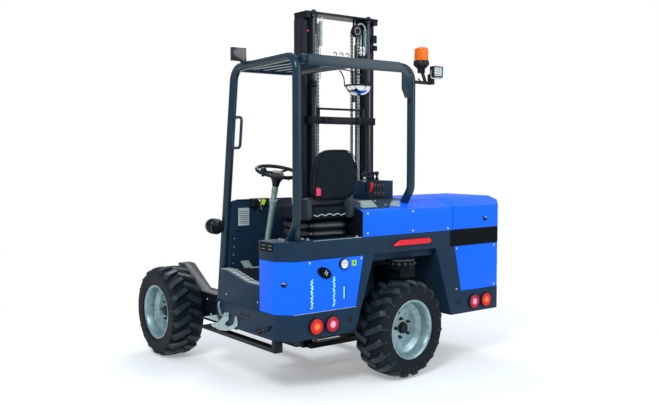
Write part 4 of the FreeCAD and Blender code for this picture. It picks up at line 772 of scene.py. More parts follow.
@dataclass(frozen=True)
class Chrome(Finish):
    """Hard chrome or bare polished steel with a brushed run along it and an oil film."""

    colour: tuple[float, float, float] = (0.72, 0.74, 0.77)
    roughness: float = 0.14

    def write(self, recipe: Recipe) -> None:
        """Fine lines across the axis and a cloudy oil film change the roughness."""
        film, lines = recipe.noise(16, 4), recipe.noise(60, 2, 0.5, (1, 1, 14))
        recipe.link("Base Color", recipe.mixed(film.between(0.4, 0.8), self.colour,
                                               shade(self.colour, 0.82)))
        recipe.link("Roughness", film * 0.10 + lines * 0.08 + (self.roughness - 0.05))
        recipe.fix(Metallic=1.0)


@dataclass(frozen=True)
class Rubber(Finish):
    """Black rubber, mottled with pale dust, also in its grain; strong pale mottle, as on the lugs, is a painted
    highlight.
    """

    colour: tuple[float, float, float] = (0.016, 0.016, 0.018)
    roughness: float = 0.62
    dust: float = 0.25
    grain: float = 240.0
    shine: float = 0.22

    def write(self, recipe: Recipe) -> None:
        """Two noises mottle the colour; a grainy bump breaks the sheen."""
        mottle, fine = recipe.noise(13, 6, 0.68), recipe.noise(self.grain, 3)
        dust_and_highlight = mottle.between(0.45, 0.78) * self.dust + fine.between(0.5, 0.9) * (self.dust * 0.35)
        recipe.link("Base Color", recipe.mixed(dust_and_highlight, self.colour, (0.060, 0.090, 0.110)))
        recipe.link("Roughness", mottle * 0.24 + (self.roughness - 0.08))
        recipe.fix(Specular_IOR_Level=self.shine)
        recipe.bump(fine * 0.7 + mottle * 0.3, 0.22, 0.0012)


@dataclass(frozen=True)
class Vinyl(Finish):
    """Grained seat cloth or vinyl with a soft sheen."""

    colour: tuple[float, float, float] = (0.014, 0.014, 0.017)
    roughness: float = 0.5
    grain: float = 520.0

    def write(self, recipe: Recipe) -> None:
        """Small cells are the grain's pebbles; wear makes the tops shinier."""
        pebble, wear = recipe.cells(self.grain), recipe.noise(7, 4)
        recipe.link("Base Color", recipe.mixed(wear.between(0.3, 0.8), self.colour,
                                               shade(self.colour, 1.5, 0.0006)))
        recipe.link("Roughness", wear * 0.2 + pebble * 0.12 + (self.roughness - 0.12))
        recipe.fix(Specular_IOR_Level=0.11)
        recipe.bump(pebble, 0.3, 0.0008)


@dataclass(frozen=True)
class Plastic(Finish):
    """Moulded plastic with a fine spark-eroded grain."""

    colour: tuple[float, float, float] = (0.02, 0.021, 0.024)
    roughness: float = 0.46
    grain: float = 700.0
    coat: float = 0.0
    shine: float = 0.35

    def write(self, recipe: Recipe) -> None:
        """Fine grain in the bump, slow clouds in colour and roughness."""
        clouds = recipe.noise(12, 4)
        recipe.link("Base Color", recipe.mixed(clouds.between(0.3, 0.75), shade(self.colour, 0.85),
                                               shade(self.colour, 1.2, 0.002)))
        recipe.link("Roughness", clouds * 0.14 + (self.roughness - 0.07))
        recipe.fix(Coat_Weight=self.coat, Specular_IOR_Level=self.shine)
        recipe.bump(recipe.noise(self.grain, 2), 0.16, 0.0005)


@dataclass(frozen=True)
class Lens(Finish):
    """Coloured lamp glass with moulded prisms and a lit heart.

    Attributes:
        colour: the glass.
        heart: the colour of the lit middle.
        centres: the lamps' middles as (y, z), from which rings are counted.
        radius: radius of the lit heart.
        glow: strength of the light from it.
    """

    colour: tuple[float, float, float] = (0.8, 0.02, 0.02)
    heart: tuple[float, float, float] = (1.0, 0.5, 0.5)
    centres: tuple[tuple[float, float], ...] = ()
    radius: float = 0.02
    glow: float = 0.25

    def write(self, recipe: Recipe) -> None:
        """Distance from the nearest middle gives rings and the heart; without any, fine prisms run across."""
        _, y, z = recipe.axes()
        if self.centres:
            parts = [((y - cy) * (y - cy) + (z - cz) * (z - cz)).root() for cy, cz in self.centres]
            away = parts[0]
            for part in parts[1:]:
                away = away.least(part)
            rings = away.wave(0.007) * 0.7
            core = 1 - away.between(self.radius * 0.5, self.radius * 0.9)
            rings = rings + away.between(self.radius, self.radius * 1.65) * 2.6
        else:
            rings = (y + z * 0.5).wave(0.009) * 0.6 + z.wave(0.006) * 0.4
            core = recipe.noise(18, 1).between(0.45, 0.75) * 0.35
        tint = recipe.mixed(core, self.colour, self.heart)
        recipe.link("Base Color", recipe.mixed(rings * 0.25, tint, shade(self.colour, 0.45)))
        recipe.link("Emission Color", tint)
        recipe.link("Roughness", rings * 0.12 + 0.1)
        recipe.fix(Emission_Strength=self.glow, Coat_Weight=0.25, Coat_Roughness=0.06, Specular_IOR_Level=0.2)
        recipe.bump(rings, 0.25, 0.001)


@dataclass(frozen=True)
class TreadPlate(Finish):
    """Bare aluminium grip plate in square cells, near-black on its inner part."""

    pitch: float = 0.050
    web: float = 0.0075
    # Where the plate turns near-black, along y.
    dark_edge: float = 0.965

    def write(self, recipe: Recipe) -> None:
        """Distance to the nearest grid line gives bright cells and dark webs; y parts bright plate from
        near-black.
        """
        x, y, _ = recipe.axes()
        near = x.wave(self.pitch).least((y + 0.012).wave(self.pitch)) * (self.pitch / 2)
        cell = near.between(self.web * 0.5, self.web)
        plate = y.between(self.dark_edge, self.dark_edge + 0.002)
        scuffs = recipe.noise(34, 6, 0.7, (1, 3, 1))
        metal = recipe.mixed(scuffs.between(0.3, 0.7), (0.42, 0.47, 0.48), (0.86, 0.92, 0.94))
        worn = recipe.mixed(cell, (0.09, 0.11, 0.12), metal)
        recipe.link("Base Color", recipe.mixed(plate, (0.008, 0.012, 0.016), worn))
        recipe.link("Roughness", scuffs * 0.25 + 0.3)
        recipe.link("Metallic", plate * cell * 0.35)
        recipe.fix(Specular_IOR_Level=0.2)
        recipe.bump(cell * plate, 0.6, 0.003)


@dataclass(frozen=True)
class Mirror(Finish):
    """Polished dome that shows the sky."""

    def write(self, recipe: Recipe) -> None:
        """A silver tone with a faint cool film."""
        film = recipe.noise(25, 3)
        recipe.link("Base Color", recipe.mixed(film.between(0.35, 0.8), (0.72, 0.76, 0.80), (0.88, 0.90, 0.92)))
        recipe.link("Roughness", film * 0.06 + 0.02)
        recipe.fix(Metallic=1.0)


@dataclass(frozen=True)
class LampFace(Finish):
    """Clear lamp window over rows of reflector cups.

    Attributes:
        pitch: distance between cups.
        glow: strength of the light from each cup.
    """

    pitch: float = 0.018
    glow: float = 0.5

    def write(self, recipe: Recipe) -> None:
        """Cups on a grid along Y and Z: bright in the middle, dark webs between them."""
        _, y, z = recipe.axes()
        dy, dz = 1 - y.wave(self.pitch), 1 - z.wave(self.pitch)
        away = (dy * dy + dz * dz).root()
        cup = 1 - away.between(0.35, 0.9)
        tint = recipe.mixed(cup, (0.15, 0.165, 0.17), (0.60, 0.66, 0.66))
        recipe.link("Base Color", tint)
        recipe.link("Emission Color", tint)
        recipe.link("Roughness", 0.32 - cup * 0.22)
        recipe.fix(Emission_Strength=self.glow, Coat_Weight=0.3, Coat_Roughness=0.03)
        recipe.bump(cup, 0.4, 0.003)


BLUE = Paint("BodyBlue", "body_blue", (0.004, 0.132, 0.96), roughness=0.36, tone=0.04, shine=0.12)
ANTHRACITE = Paint("ChassisGrey", "chassis_grey", (0.0085, 0.027, 0.054), roughness=0.42, dust=0.02, shine=0.12)
GUARD = Paint("GuardGrey", "chassis_grey", (0.006, 0.025, 0.040), roughness=0.24, sheen=0.06, shine=0.3)
BARREL = Paint("BarrelBlack", "mast_black", (0.004, 0.010, 0.016), roughness=0.14, sheen=0.4, shine=0.6)
BLACK_PAINT = Paint("MastBlack", "mast_black", (0.0035, 0.0065, 0.011), roughness=0.36, sheen=0.03,
                    dust=0.02, shine=0.14)
GLOSS_BLACK = Paint("PlateBlack", "mast_black", (0.001, 0.003, 0.006), roughness=0.4, shine=0.06)
SAGE = Paint("SagePaint", "galvanised", (0.25, 0.34, 0.31), roughness=0.5, sheen=0.05, dust=0.02, shine=0.2)
TEAL = Paint("StrapTeal", "galvanised", (0.30, 0.72, 0.86), roughness=0.4, sheen=0.1, tone=0.35, shine=0.2)
STEP_GREY = Paint("StepGrey", "black_rubber", (0.42, 0.52, 0.50), roughness=0.6, dust=0.05, shine=0.2)
ZINC = Zinc("Galvanised", "galvanised", (0.28, 0.39, 0.41), 0.36)
SILVER = Zinc("BrightZinc", "galvanised", (0.56, 0.62, 0.63), 0.3, 0.9, 90.0)
CHROME = Chrome("ChromeRod", "chrome_rod")
DARK_STEEL = Chrome("OiledSteel", "chrome_rod", (0.07, 0.08, 0.09), 0.38)
CHAIN_STEEL = Zinc("ChainSteel", "chrome_rod", (0.50, 0.56, 0.54), 0.34, 0.3, 200.0)
# Painted light on the tyres: the carcass is a darker copy of the rubber, painted shade between the lugs, and
# the lugs a lighter copy with strong pale mottle, a painted highlight.
TYRE_SHADED = Rubber("TyreRubberShaded", "tyre_rubber", (0.003, 0.007, 0.011), 0.5, 0.10, shine=0.12)
LUG_HIGHLIT = Rubber("LugRubberHighlit", "tyre_rubber", (0.007, 0.014, 0.021), 0.42, 0.45, shine=0.3)
BLACK_RUBBER = Rubber("BlackRubber", "black_rubber", (0.006, 0.008, 0.010), 0.5, 0.04, 400.0)
BELLOWS = Rubber("BellowsRubber", "black_rubber", (0.003, 0.005, 0.007), 0.26, 0.0, 400.0, 0.5)
VINYL = Vinyl("CushionVinyl", "seat_vinyl", (0.0018, 0.0055, 0.0110))
PAD_VINYL = Vinyl("HipPadVinyl", "seat_vinyl", (0.022, 0.031, 0.040), 0.42)
PIPING = Vinyl("CushionPiping", "seat_vinyl", (0.014, 0.018, 0.022), 0.42, 900.0)
THREAD = Vinyl("CushionSeam", "seat_vinyl", (0.30, 0.34, 0.34), 0.42, 900.0)
BLACK_PLASTIC = Plastic("BlackPlastic", "black_plastic", (0.006, 0.008, 0.011), shine=0.25)
GREY_PLASTIC = Plastic("GreyPlastic", "black_plastic", (0.035, 0.042, 0.050), 0.5, shine=0.2)
SHINY_PLASTIC = Plastic("ShinyPlastic", "black_plastic", (0.007, 0.010, 0.014), 0.2, 700.0, 0.3, 0.5)
SWITCH_MARK = Plastic("SwitchMark", "black_plastic", (0.10, 0.11, 0.12), 0.45)
PALE_PLATE = Plastic("PalePlate", "tread_plate", (0.48, 0.54, 0.55), 0.45, 300.0)
WHITE_DIAL = Plastic("WhiteDial", "tread_plate", (0.78, 0.79, 0.80), 0.3, 300.0, 0.6)
RED_KNOB = Plastic("RedKnob", "red_lens", (0.62, 0.008, 0.010), 0.32, 700.0, 0.1)
TAG_PINK = Plastic("TagPink", "red_lens", (0.74, 0.03, 0.12), 0.4, 300.0)
GREEN_TAG = Plastic("GreenTag", "amber_lens", (0.30, 0.62, 0.03), 0.4)
KEY_TAG = Plastic("KeyTag", "amber_lens", (0.62, 0.78, 0.02), 0.4)
COLUMN = Zinc("ColumnSilver", "galvanised", (0.24, 0.36, 0.33), 0.36, 0.3, 60.0)
PEDAL = Zinc("PedalZinc", "galvanised", (0.38, 0.50, 0.48), 0.36, 0.5, 60.0)
TREAD = TreadPlate("TreadPlate", "tread_plate")
DOME = Mirror("MirrorDome", "chrome_rod")
CUPS = LampFace("LampFace", "tread_plate")
CAST_IRON = Paint("CastBlock", "cast_block", (0.03, 0.033, 0.036), roughness=0.6, dust=0.1, peel=0.4, shine=0.1)


# ---------------------------------------------------------------- stage
@dataclass
class Stage:
    """Camera, pale floor, soft light and white surroundings."""

    eye: tuple[float, float, float] = (-4.173, 3.811, 1.565)
    yaw: float = 37.43
    pitch: float = 3.459
    lens: float = 44.007
    floor_size: float = 60.0
    glow: float = 0.30
    fade: tuple[float, float] = (1.6, 3.6)

    def camera(self) -> None:
        """Sets the camera, which looks forward, to the machine's right and slightly down."""
        yaw, pitch = math.radians(self.yaw), math.radians(self.pitch)
        ahead = Vector((math.cos(yaw) * math.cos(pitch), -math.sin(yaw) * math.cos(pitch), -math.sin(pitch)))
        camera = bpy.data.objects.new("Camera", bpy.data.cameras.new("Camera"))
        camera.data.lens, camera.data.sensor_width = self.lens, 36.0
        camera.data.clip_end = 200.0
        camera.location = at(*self.eye)
        camera.rotation_euler = ahead.to_track_quat("-Z", "Y").to_euler()
        bpy.context.scene.collection.objects.link(camera)
        bpy.context.scene.camera = camera

    def floor(self) -> None:
        """Lays the floor: it keeps the machine's shadow and fades to white all round it."""
        half = self.floor_size / 2
        mesh = bpy.data.meshes.new("Floor")
        mesh.from_pydata([(-half, -half, 0), (half, -half, 0), (half, half, 0), (-half, half, 0)], [],
                         [[0, 1, 2, 3]])
        floor = bpy.data.objects.new("Floor", mesh)
        bpy.context.scene.collection.objects.link(floor)
        paper = bpy.data.materials.new("FloorPaper")
        recipe = Recipe(paper)
        matt = recipe.node("BsdfDiffuse", sockets={"Color": (0.70, 0.715, 0.71, 1)}, out="BSDF")
        shown = recipe.node("LightPath", out="Is Camera Ray")
        mirrored = Signal(recipe.tree, shown.socket.node.outputs["Is Glossy Ray"])
        light = recipe.node("Emission", sockets={"Color": (1, 1, 1, 1),
                                                 "Strength": shown.largest(mirrored) * self.glow},
                            out="Emission")
        near = recipe.node("AddShader", sockets={0: matt, 1: light}, out="Shader")
        white = recipe.node("Emission", sockets={"Color": (1, 1, 1, 1), "Strength": 1.0}, out="Emission")
        x, y, _ = recipe.axes()
        away = (x * x + y * y).root().between(*self.fade) * shown.largest(mirrored)
        whole = recipe.node("MixShader", sockets={0: away, 1: near, 2: white}, out="Shader")
        recipe.tree.links.new(whole.socket, recipe.tree.nodes["Material Output"].inputs["Surface"])
        mesh.materials.append(paper)

    def surroundings(self) -> None:
        """White all round for the eye, and a soft sky that is brighter above for the light."""
        world = bpy.data.worlds.new("Studio")
        bpy.context.scene.world = world
        recipe = Recipe(world)
        direction = recipe.node("TexCoord", out="Generated")
        high = recipe.node("SeparateXYZ", sockets={0: direction}, out=2).between(-0.2, 0.9)
        seen = recipe.node("LightPath", out="Is Camera Ray")
        sky = recipe.mixed(high, (0.30, 0.31, 0.33), (0.62, 0.68, 0.80))
        colour = recipe.mixed(seen, sky, (1.0, 1.0, 1.0))
        ground = recipe.tree.nodes["Background"]
        recipe.tree.links.new(colour.socket, ground.inputs["Color"])
        ground.inputs["Strength"].default_value = 1.0

    def lamp(self, name: str, place: Sequence[float], aim: Sequence[float], size: float, power: float,
             colour: Sequence[float] = (1, 1, 1)) -> None:
        """Hangs one large soft lamp.

        Args:
            name: the lamp's name.
            place: where it hangs.
            aim: what it looks at.
            size: side of its square face.
            power: its power in watts.
            colour: its colour.
        """
        data = bpy.data.lights.new(name, "AREA")
        data.size, data.energy, data.color = size, power, colour
        lamp = bpy.data.objects.new(name, data)
        lamp.location = place
        lamp.rotation_euler = (Vector(aim) - Vector(place)).to_track_quat("-Z", "Y").to_euler()
        bpy.context.scene.collection.objects.link(lamp)

    def build(self) -> None:
        """Camera, floor, world and lamps."""
        bpy.context.scene.view_settings.view_transform = "Standard"
        self.camera()
        self.floor()
        self.surroundings()
        self.lamp("Key", (-4.5, 5.5, 6.0), (0, 0, 0.9), 2.2, 430, (0.93, 0.98, 1.0))
        self.lamp("Fill", (-6.0, -2.5, 3.5), (0, 0, 1.0), 4.0, 150, (0.93, 0.96, 1.0))
        self.lamp("Rim", (4.0, -2.0, 5.5), (0, 0, 1.2), 3.0, 160)


# ---------------------------------------------------------------- construction nodes that stay
@dataclass
class Bodywork:
    """Construction nodes whose shape is right, with their finishes and rounded edges."""

    edge: float = 0.0025

    def build(self, bench: Bench) -> None:
        """Dresses every node, group by group."""
        for finish, bevel, nodes in (
            (BLUE, 0.0035, "panel_left panel_right hood_fixed hood_cover"),
            (ANTHRACITE, self.edge, "rear_frame belt footwell bulkhead reach_carriage fork_carriage console"),
            (BLACK_PAINT, self.edge, "mast_outer mast_inner forks tilt_barrels leg_left leg_right step_bar"),
            (GUARD, self.edge, "guard_frame rear_beam"),
            (BARREL, 0.0, "lift_barrels"),
            (GLOSS_BLACK, self.edge, "steer_yoke hub_motors"),
            (DARK_STEEL, 0.0, "lift_rods"),
            (CHROME, 0.0, "tilt_rods"),
            (CAST_IRON, 0.006, "power_unit"),
            (TREAD, 0.001, "tread_floor"),
            (COLUMN, 0.0, "steering_column"),
            (BLACK_PLASTIC, 0.0, "steering_wheel"),
            (PEDAL, 0.002, "pedals"),
            (SHINY_PLASTIC, 0.004, "work_lamps"),
            (BLACK_PLASTIC, 0.002, "beacon_base"),
        ):
            for node in nodes.split():
                bench.dress(node, finish, bevel)


# ---------------------------------------------------------------- controls
@dataclass
class Controls:
    """Steering wheel fittings, console switches and levers, pedals, dash pod and label plate."""

    wheel_centre: tuple[float, float, float] = (0.490, 0.700, 1.437)
    column_foot: tuple[float, float, float] = (0.672, 0.700, 0.772)
    column_head: tuple[float, float, float] = (0.501, 0.700, 1.397)
    collars: tuple[tuple[float, float, float], ...] = (
        (0.745, 0.011, 0.030), (0.700, 0.004, 0.0255), (0.86, 0.005, 0.0245))
    knob_angle: float = 104.0
    rim_radius: float = 0.145
    lever_x: float = 0.312
    lever_pitch: float = 0.036
    console_top: float = 1.370
    bulkhead_x: float = 0.700
    deck_z: float = 1.0105

    def along_column(self, share: float) -> np.ndarray:
        """A point on the column, 0 at its foot and 1 at its head."""
        foot, head = at(*self.column_foot), at(*self.column_head)
        return foot + (head - foot) * share

    def collar(self, half: float, radius: float) -> Form:
        """A ring round the column with chamfered edges."""
        edge, inner = 0.002, 0.0205
        profile = symmetric([(-half, inner), (-half, radius - edge), (-half + edge, radius)])
        return lathe(profile, 36, closed=True)

    def steering(self, bench: Bench) -> None:
        """Hub cone, spinner knob, and the column's collars with their lock handle."""
        foot, head = self.along_column(0), self.along_column(1)
        turn = frame_along(head - foot)
        cone = lathe([(-0.058, 0), (-0.058, 0.0235), (-0.040, 0.0265), (-0.022, 0.032), (-0.006, 0.042),
                      (0.030, 0.046), (0.044, 0.040), (0.047, 0.0)], 40).repeated([turn], [head])
        bench.piece("wheel_hub", cone, BLACK_PLASTIC)
        angle = math.radians(self.knob_angle)
        out = self.rim_radius * np.array([math.cos(angle), math.sin(angle), 0])
        spot = at(*self.wheel_centre) + turn @ out
        knob = lathe([(-0.016, 0), (-0.016, 0.010), (0.010, 0.0095), (0.016, 0.017), (0.030, 0.0215),
                      (0.042, 0.017), (0.047, 0.007), (0.048, 0)], 28).repeated([turn], [spot])
        bench.piece("wheel_knob", knob, BLACK_PLASTIC)
        rings = joined(self.collar(half, radius).repeated([turn], [self.along_column(share)])
                       for share, half, radius in self.collars)
        bench.piece("column_collars", rings, SAGE)
        lock = self.along_column(self.collars[0][0])
        grip = pin(lock + (0, -0.026, 0), lock + (0, -0.075, 0.004), 0.0055, 14, 0.6)
        bench.piece("column_lock_handle", grip, BLACK_PLASTIC)

    def console(self, bench: Bench) -> None:
        """Switch panel with rockers, red lever, and the control levers' boots, knobs and sleeves."""
        (low_x, _, _), (_, high_y, _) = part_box("console")
        base = low_x - STEER_AXIS_X
        panel = block((base - 0.0025, high_y - 0.150, 1.246), (base, high_y - 0.004, 1.362))
        bench.piece("switch_panel", panel, BLACK_PLASTIC, bevel=0.0012)
        rocker = around((0, 0, 0), (0.006, 0.019, 0.030))
        spots = [at(base - 0.005, high_y - 0.052 - 0.027 * column, z)
                 for column in range(4) for z in (1.336, 1.278)]
        bench.piece("switch_rockers", rocker.arrayed(spots), GREY_PLASTIC, bevel=0.0018)
        caps = around((0, 0, 0), (0.002, 0.012, 0.004)).arrayed([spot + (-0.0035, 0, 0.008) for spot in spots])
        bench.piece("switch_marks", caps, SWITCH_MARK)
        handle = wire([(base - 0.003, high_y - 0.010, 1.292), (base - 0.009, high_y - 0.014, 1.312),
                       (base - 0.011, high_y - 0.020, 1.338), (base - 0.008, high_y - 0.024, 1.356)],
                       np.interp(np.linspace(0, 1, 20), [0, 0.5, 1], [0.007, 0.0105, 0.012]), 20, 16)
        bench.piece("red_lever", handle, RED_KNOB, bevel=0.002)
        feet = [(0.0, -n * self.lever_pitch, 0.0) for n in range(4)]
        start = at(self.lever_x, high_y - 0.046, self.console_top)
        height = np.linspace(0, 1, 15)
        folds = 0.0155 - 0.006 * height + 0.0016 * np.cos(height * math.pi * 6)
        boot = np.column_stack([height * 0.026, folds])
        boot = lathe(np.vstack([[(0, 0)], boot, [(0.026, 0)]]), 24, centre=start)
        bench.piece("lever_boots", boot.arrayed(feet), BLACK_RUBBER)
        sleeve = lathe([(0.026, 0), (0.026, 0.0078), (0.034, 0.0078), (0.036, 0.0068), (0.036, 0)], 20,
                       centre=start)
        bench.piece("lever_sleeves", sleeve.arrayed(feet), DARK_STEEL)
        knob = lathe([(0.040, 0), (0.041, 0.008), (0.047, 0.0142), (0.056, 0.0155), (0.064, 0.0125),
                      (0.0665, 0.006), (0.067, 0)], 24, centre=start)
        bench.piece("lever_knobs", knob.arrayed(feet), BLACK_PLASTIC)
        side = [(base + x, high_y + y, z) for x, y, z in (
            (0.030, 0.002, 1.300), (0.020, 0.012, 1.345), (0.036, 0.011, 1.395), (0.070, -0.004, 1.420),
            (0.088, -0.030, 1.408))]
        bench.piece("console_hose", wire(side, 0.0058, 40, 12), BLACK_RUBBER)
        sleeve = pin(at(base + 0.030, high_y + 0.010, 1.372), at(base + 0.036, high_y + 0.011, 1.398),
                     0.0082, 18)
        ends = sleeve + hexagon_head(at(base + 0.031, high_y + 0.010, 1.366), UP, 0.019, 0.009)
        bench.piece("console_hose_ends", ends, SILVER)

    def footwell(self, bench: Bench) -> None:
        """Pedal pads with ribs, dash pod with key and tag, label plate, fold strip and rivets."""
        (low_x, low_y, _), (high_x, high_y, top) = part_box("pedals")
        rib = around(((low_x + high_x) / 2, (low_y + high_y) / 2, top + 0.001),
                     (0.004, high_y - low_y - 0.004, 0.003))
        bench.piece("pedal_ribs", rib.arrayed([(x, 0, 0.0) for x in (-0.03, -0.015, 0.0, 0.015, 0.03)]),
                    BLACK_RUBBER)
        self.treadle(bench)
        x = self.bulkhead_x
        pod = around(at(x - 0.030, 0.730, 1.222), (0.060, 0.150, 0.058))
        bench.piece("dash_pod", pod, BLACK_PLASTIC, bevel=0.010, segments=3)
        barrel = pin(at(x - 0.058, 0.750, 1.236), at(x - 0.068, 0.750, 1.237), 0.011, 24)
        key = around(at(x - 0.076, 0.750, 1.237), (0.020, 0.003, 0.016))
        t = circle(24)
        ring = np.column_stack([0.002 * np.sin(t), 0.011 * np.cos(t), 0.013 * np.sin(t)])
        hoop = tube(at(x - 0.086, 0.750, 1.228) + ring, 0.0012, 6, closed=True)
        spots = [at(x - 0.084 - 0.003 * n, 0.760 + 0.006 * n, 1.194 - 0.010 * n) for n in range(3)]
        keys = joined(around(spot, (0.0025, 0.013, 0.050)).turned(Axis.X, 8 * n - 6, at(x, 0.760, 1.22))
                      for n, spot in enumerate(spots))
        bench.piece("ignition", barrel + key + hoop + keys, CHROME)
        tag = around(at(x - 0.088, 0.738, 1.226), (0.003, 0.028, 0.040)).turned(Axis.X, 24, at(x, 0.738, 1.226))
        bench.piece("key_tag", tag, KEY_TAG, bevel=0.001)
        bench.piece("label_plate", block((x - 0.0015, 0.803, 1.060), (x, 0.892, 1.184)), PALE_PLATE,
                    bevel=0.0005)
        lines = around(at(x - 0.0018, 0.8475, 1.0), (0.0008, 0.070, 0.0035))
        heights = (0.078, 0.090, 0.104, 0.118, 0.130, 0.146, 0.160)
        bench.piece("label_lines", lines.arrayed([(0, 0, z) for z in heights]), GREY_PLASTIC)
        folds = (block((x - 0.003, 0.779, 0.640), (x, 0.787, 1.060))
                 + block((x - 0.006, 0.440, 1.2405), (x + 0.013, 0.905, 1.2455)))
        bench.piece("bulkhead_folds", folds, ANTHRACITE, bevel=0.001)
        edge = [(0.984, 0.552), (0.9335, 1.232), (0.9295, 1.232), (0.980, 0.552)]
        bench.piece("bulkhead_flange", rear_plate(edge, x + 0.0135, x + 0.058), ANTHRACITE)
        rivet = lathe([(0, 0), (0, 0.0036), (-0.0016, 0.0030), (-0.0020, 0.0)][::-1], 12, Axis.X)
        line = [at(x, 0.940 - 0.0040 * n, 0.740 + 0.058 * n) for n in range(5)]
        bench.piece("bulkhead_rivets", rivet.arrayed(line), PALE_PLATE)
        hook = wire([(x - 0.004, 0.925, 1.040), (x - 0.020, 0.915, 1.046), (x - 0.022, 0.890, 1.040),
                     (x - 0.004, 0.880, 1.030)], 0.0028, 24, 8)
        bench.piece("bulkhead_hook", hook, DARK_STEEL)

    def treadle(self, bench: Bench) -> None:
        """The left foot's treadle: a steep upper plate, a flatter lower one and the arm under both."""
        upper = side_plate(((0.686, 0.806), (0.682, 0.814), (0.602, 0.762), (0.606, 0.754)), 0.822, 0.886)
        lower = side_plate(((0.604, 0.770), (0.600, 0.778), (0.505, 0.724), (0.509, 0.716)), 0.772, 0.858)
        arm = wire([(0.660, 0.850, 0.785), (0.640, 0.840, 0.762), (0.600, 0.835, 0.745),
                    (0.560, 0.832, 0.728)], 0.009, 20, 12)
        bench.piece("treadle_plates", upper + lower, PEDAL, bevel=0.002)
        bench.piece("treadle_arm", arm, BLACK_PAINT)
        rib = around((0, 0, 0), (0.004, 0.050, 0.003))
        spots = [at(0.615 + 0.015 * n, 0.854, 0.7735 + 0.0098 * n) for n in range(5)]
        bench.piece("treadle_ribs", rib.arrayed(spots), STEP_GREY)

    def deck(self, bench: Bench) -> None:
        """Chrome bolts on the deck round the left post's foot and behind the seat."""
        spots = ((0.055, 0.800), (0.010, 0.790), (0.070, 0.940), (0.120, 0.930), (0.125, 0.860),
                 (-0.035, 0.420))
        heads = joined(hexagon_head(at(x, y, self.deck_z), UP, 0.019, 0.012) for x, y in spots)
        bench.piece("deck_bolts", heads, SILVER)
        eye = wire([(0.060, 0.835, self.deck_z), (0.064, 0.832, 1.030), (0.076, 0.822, 1.034),
                    (0.084, 0.815, self.deck_z)], 0.0042, 20, 10)
        bench.piece("deck_eye", eye, CHROME)

    def build(self, bench: Bench) -> None:
        """All controls."""
        self.steering(bench)
        self.console(bench)
        self.footwell(bench)
        self.deck(bench)


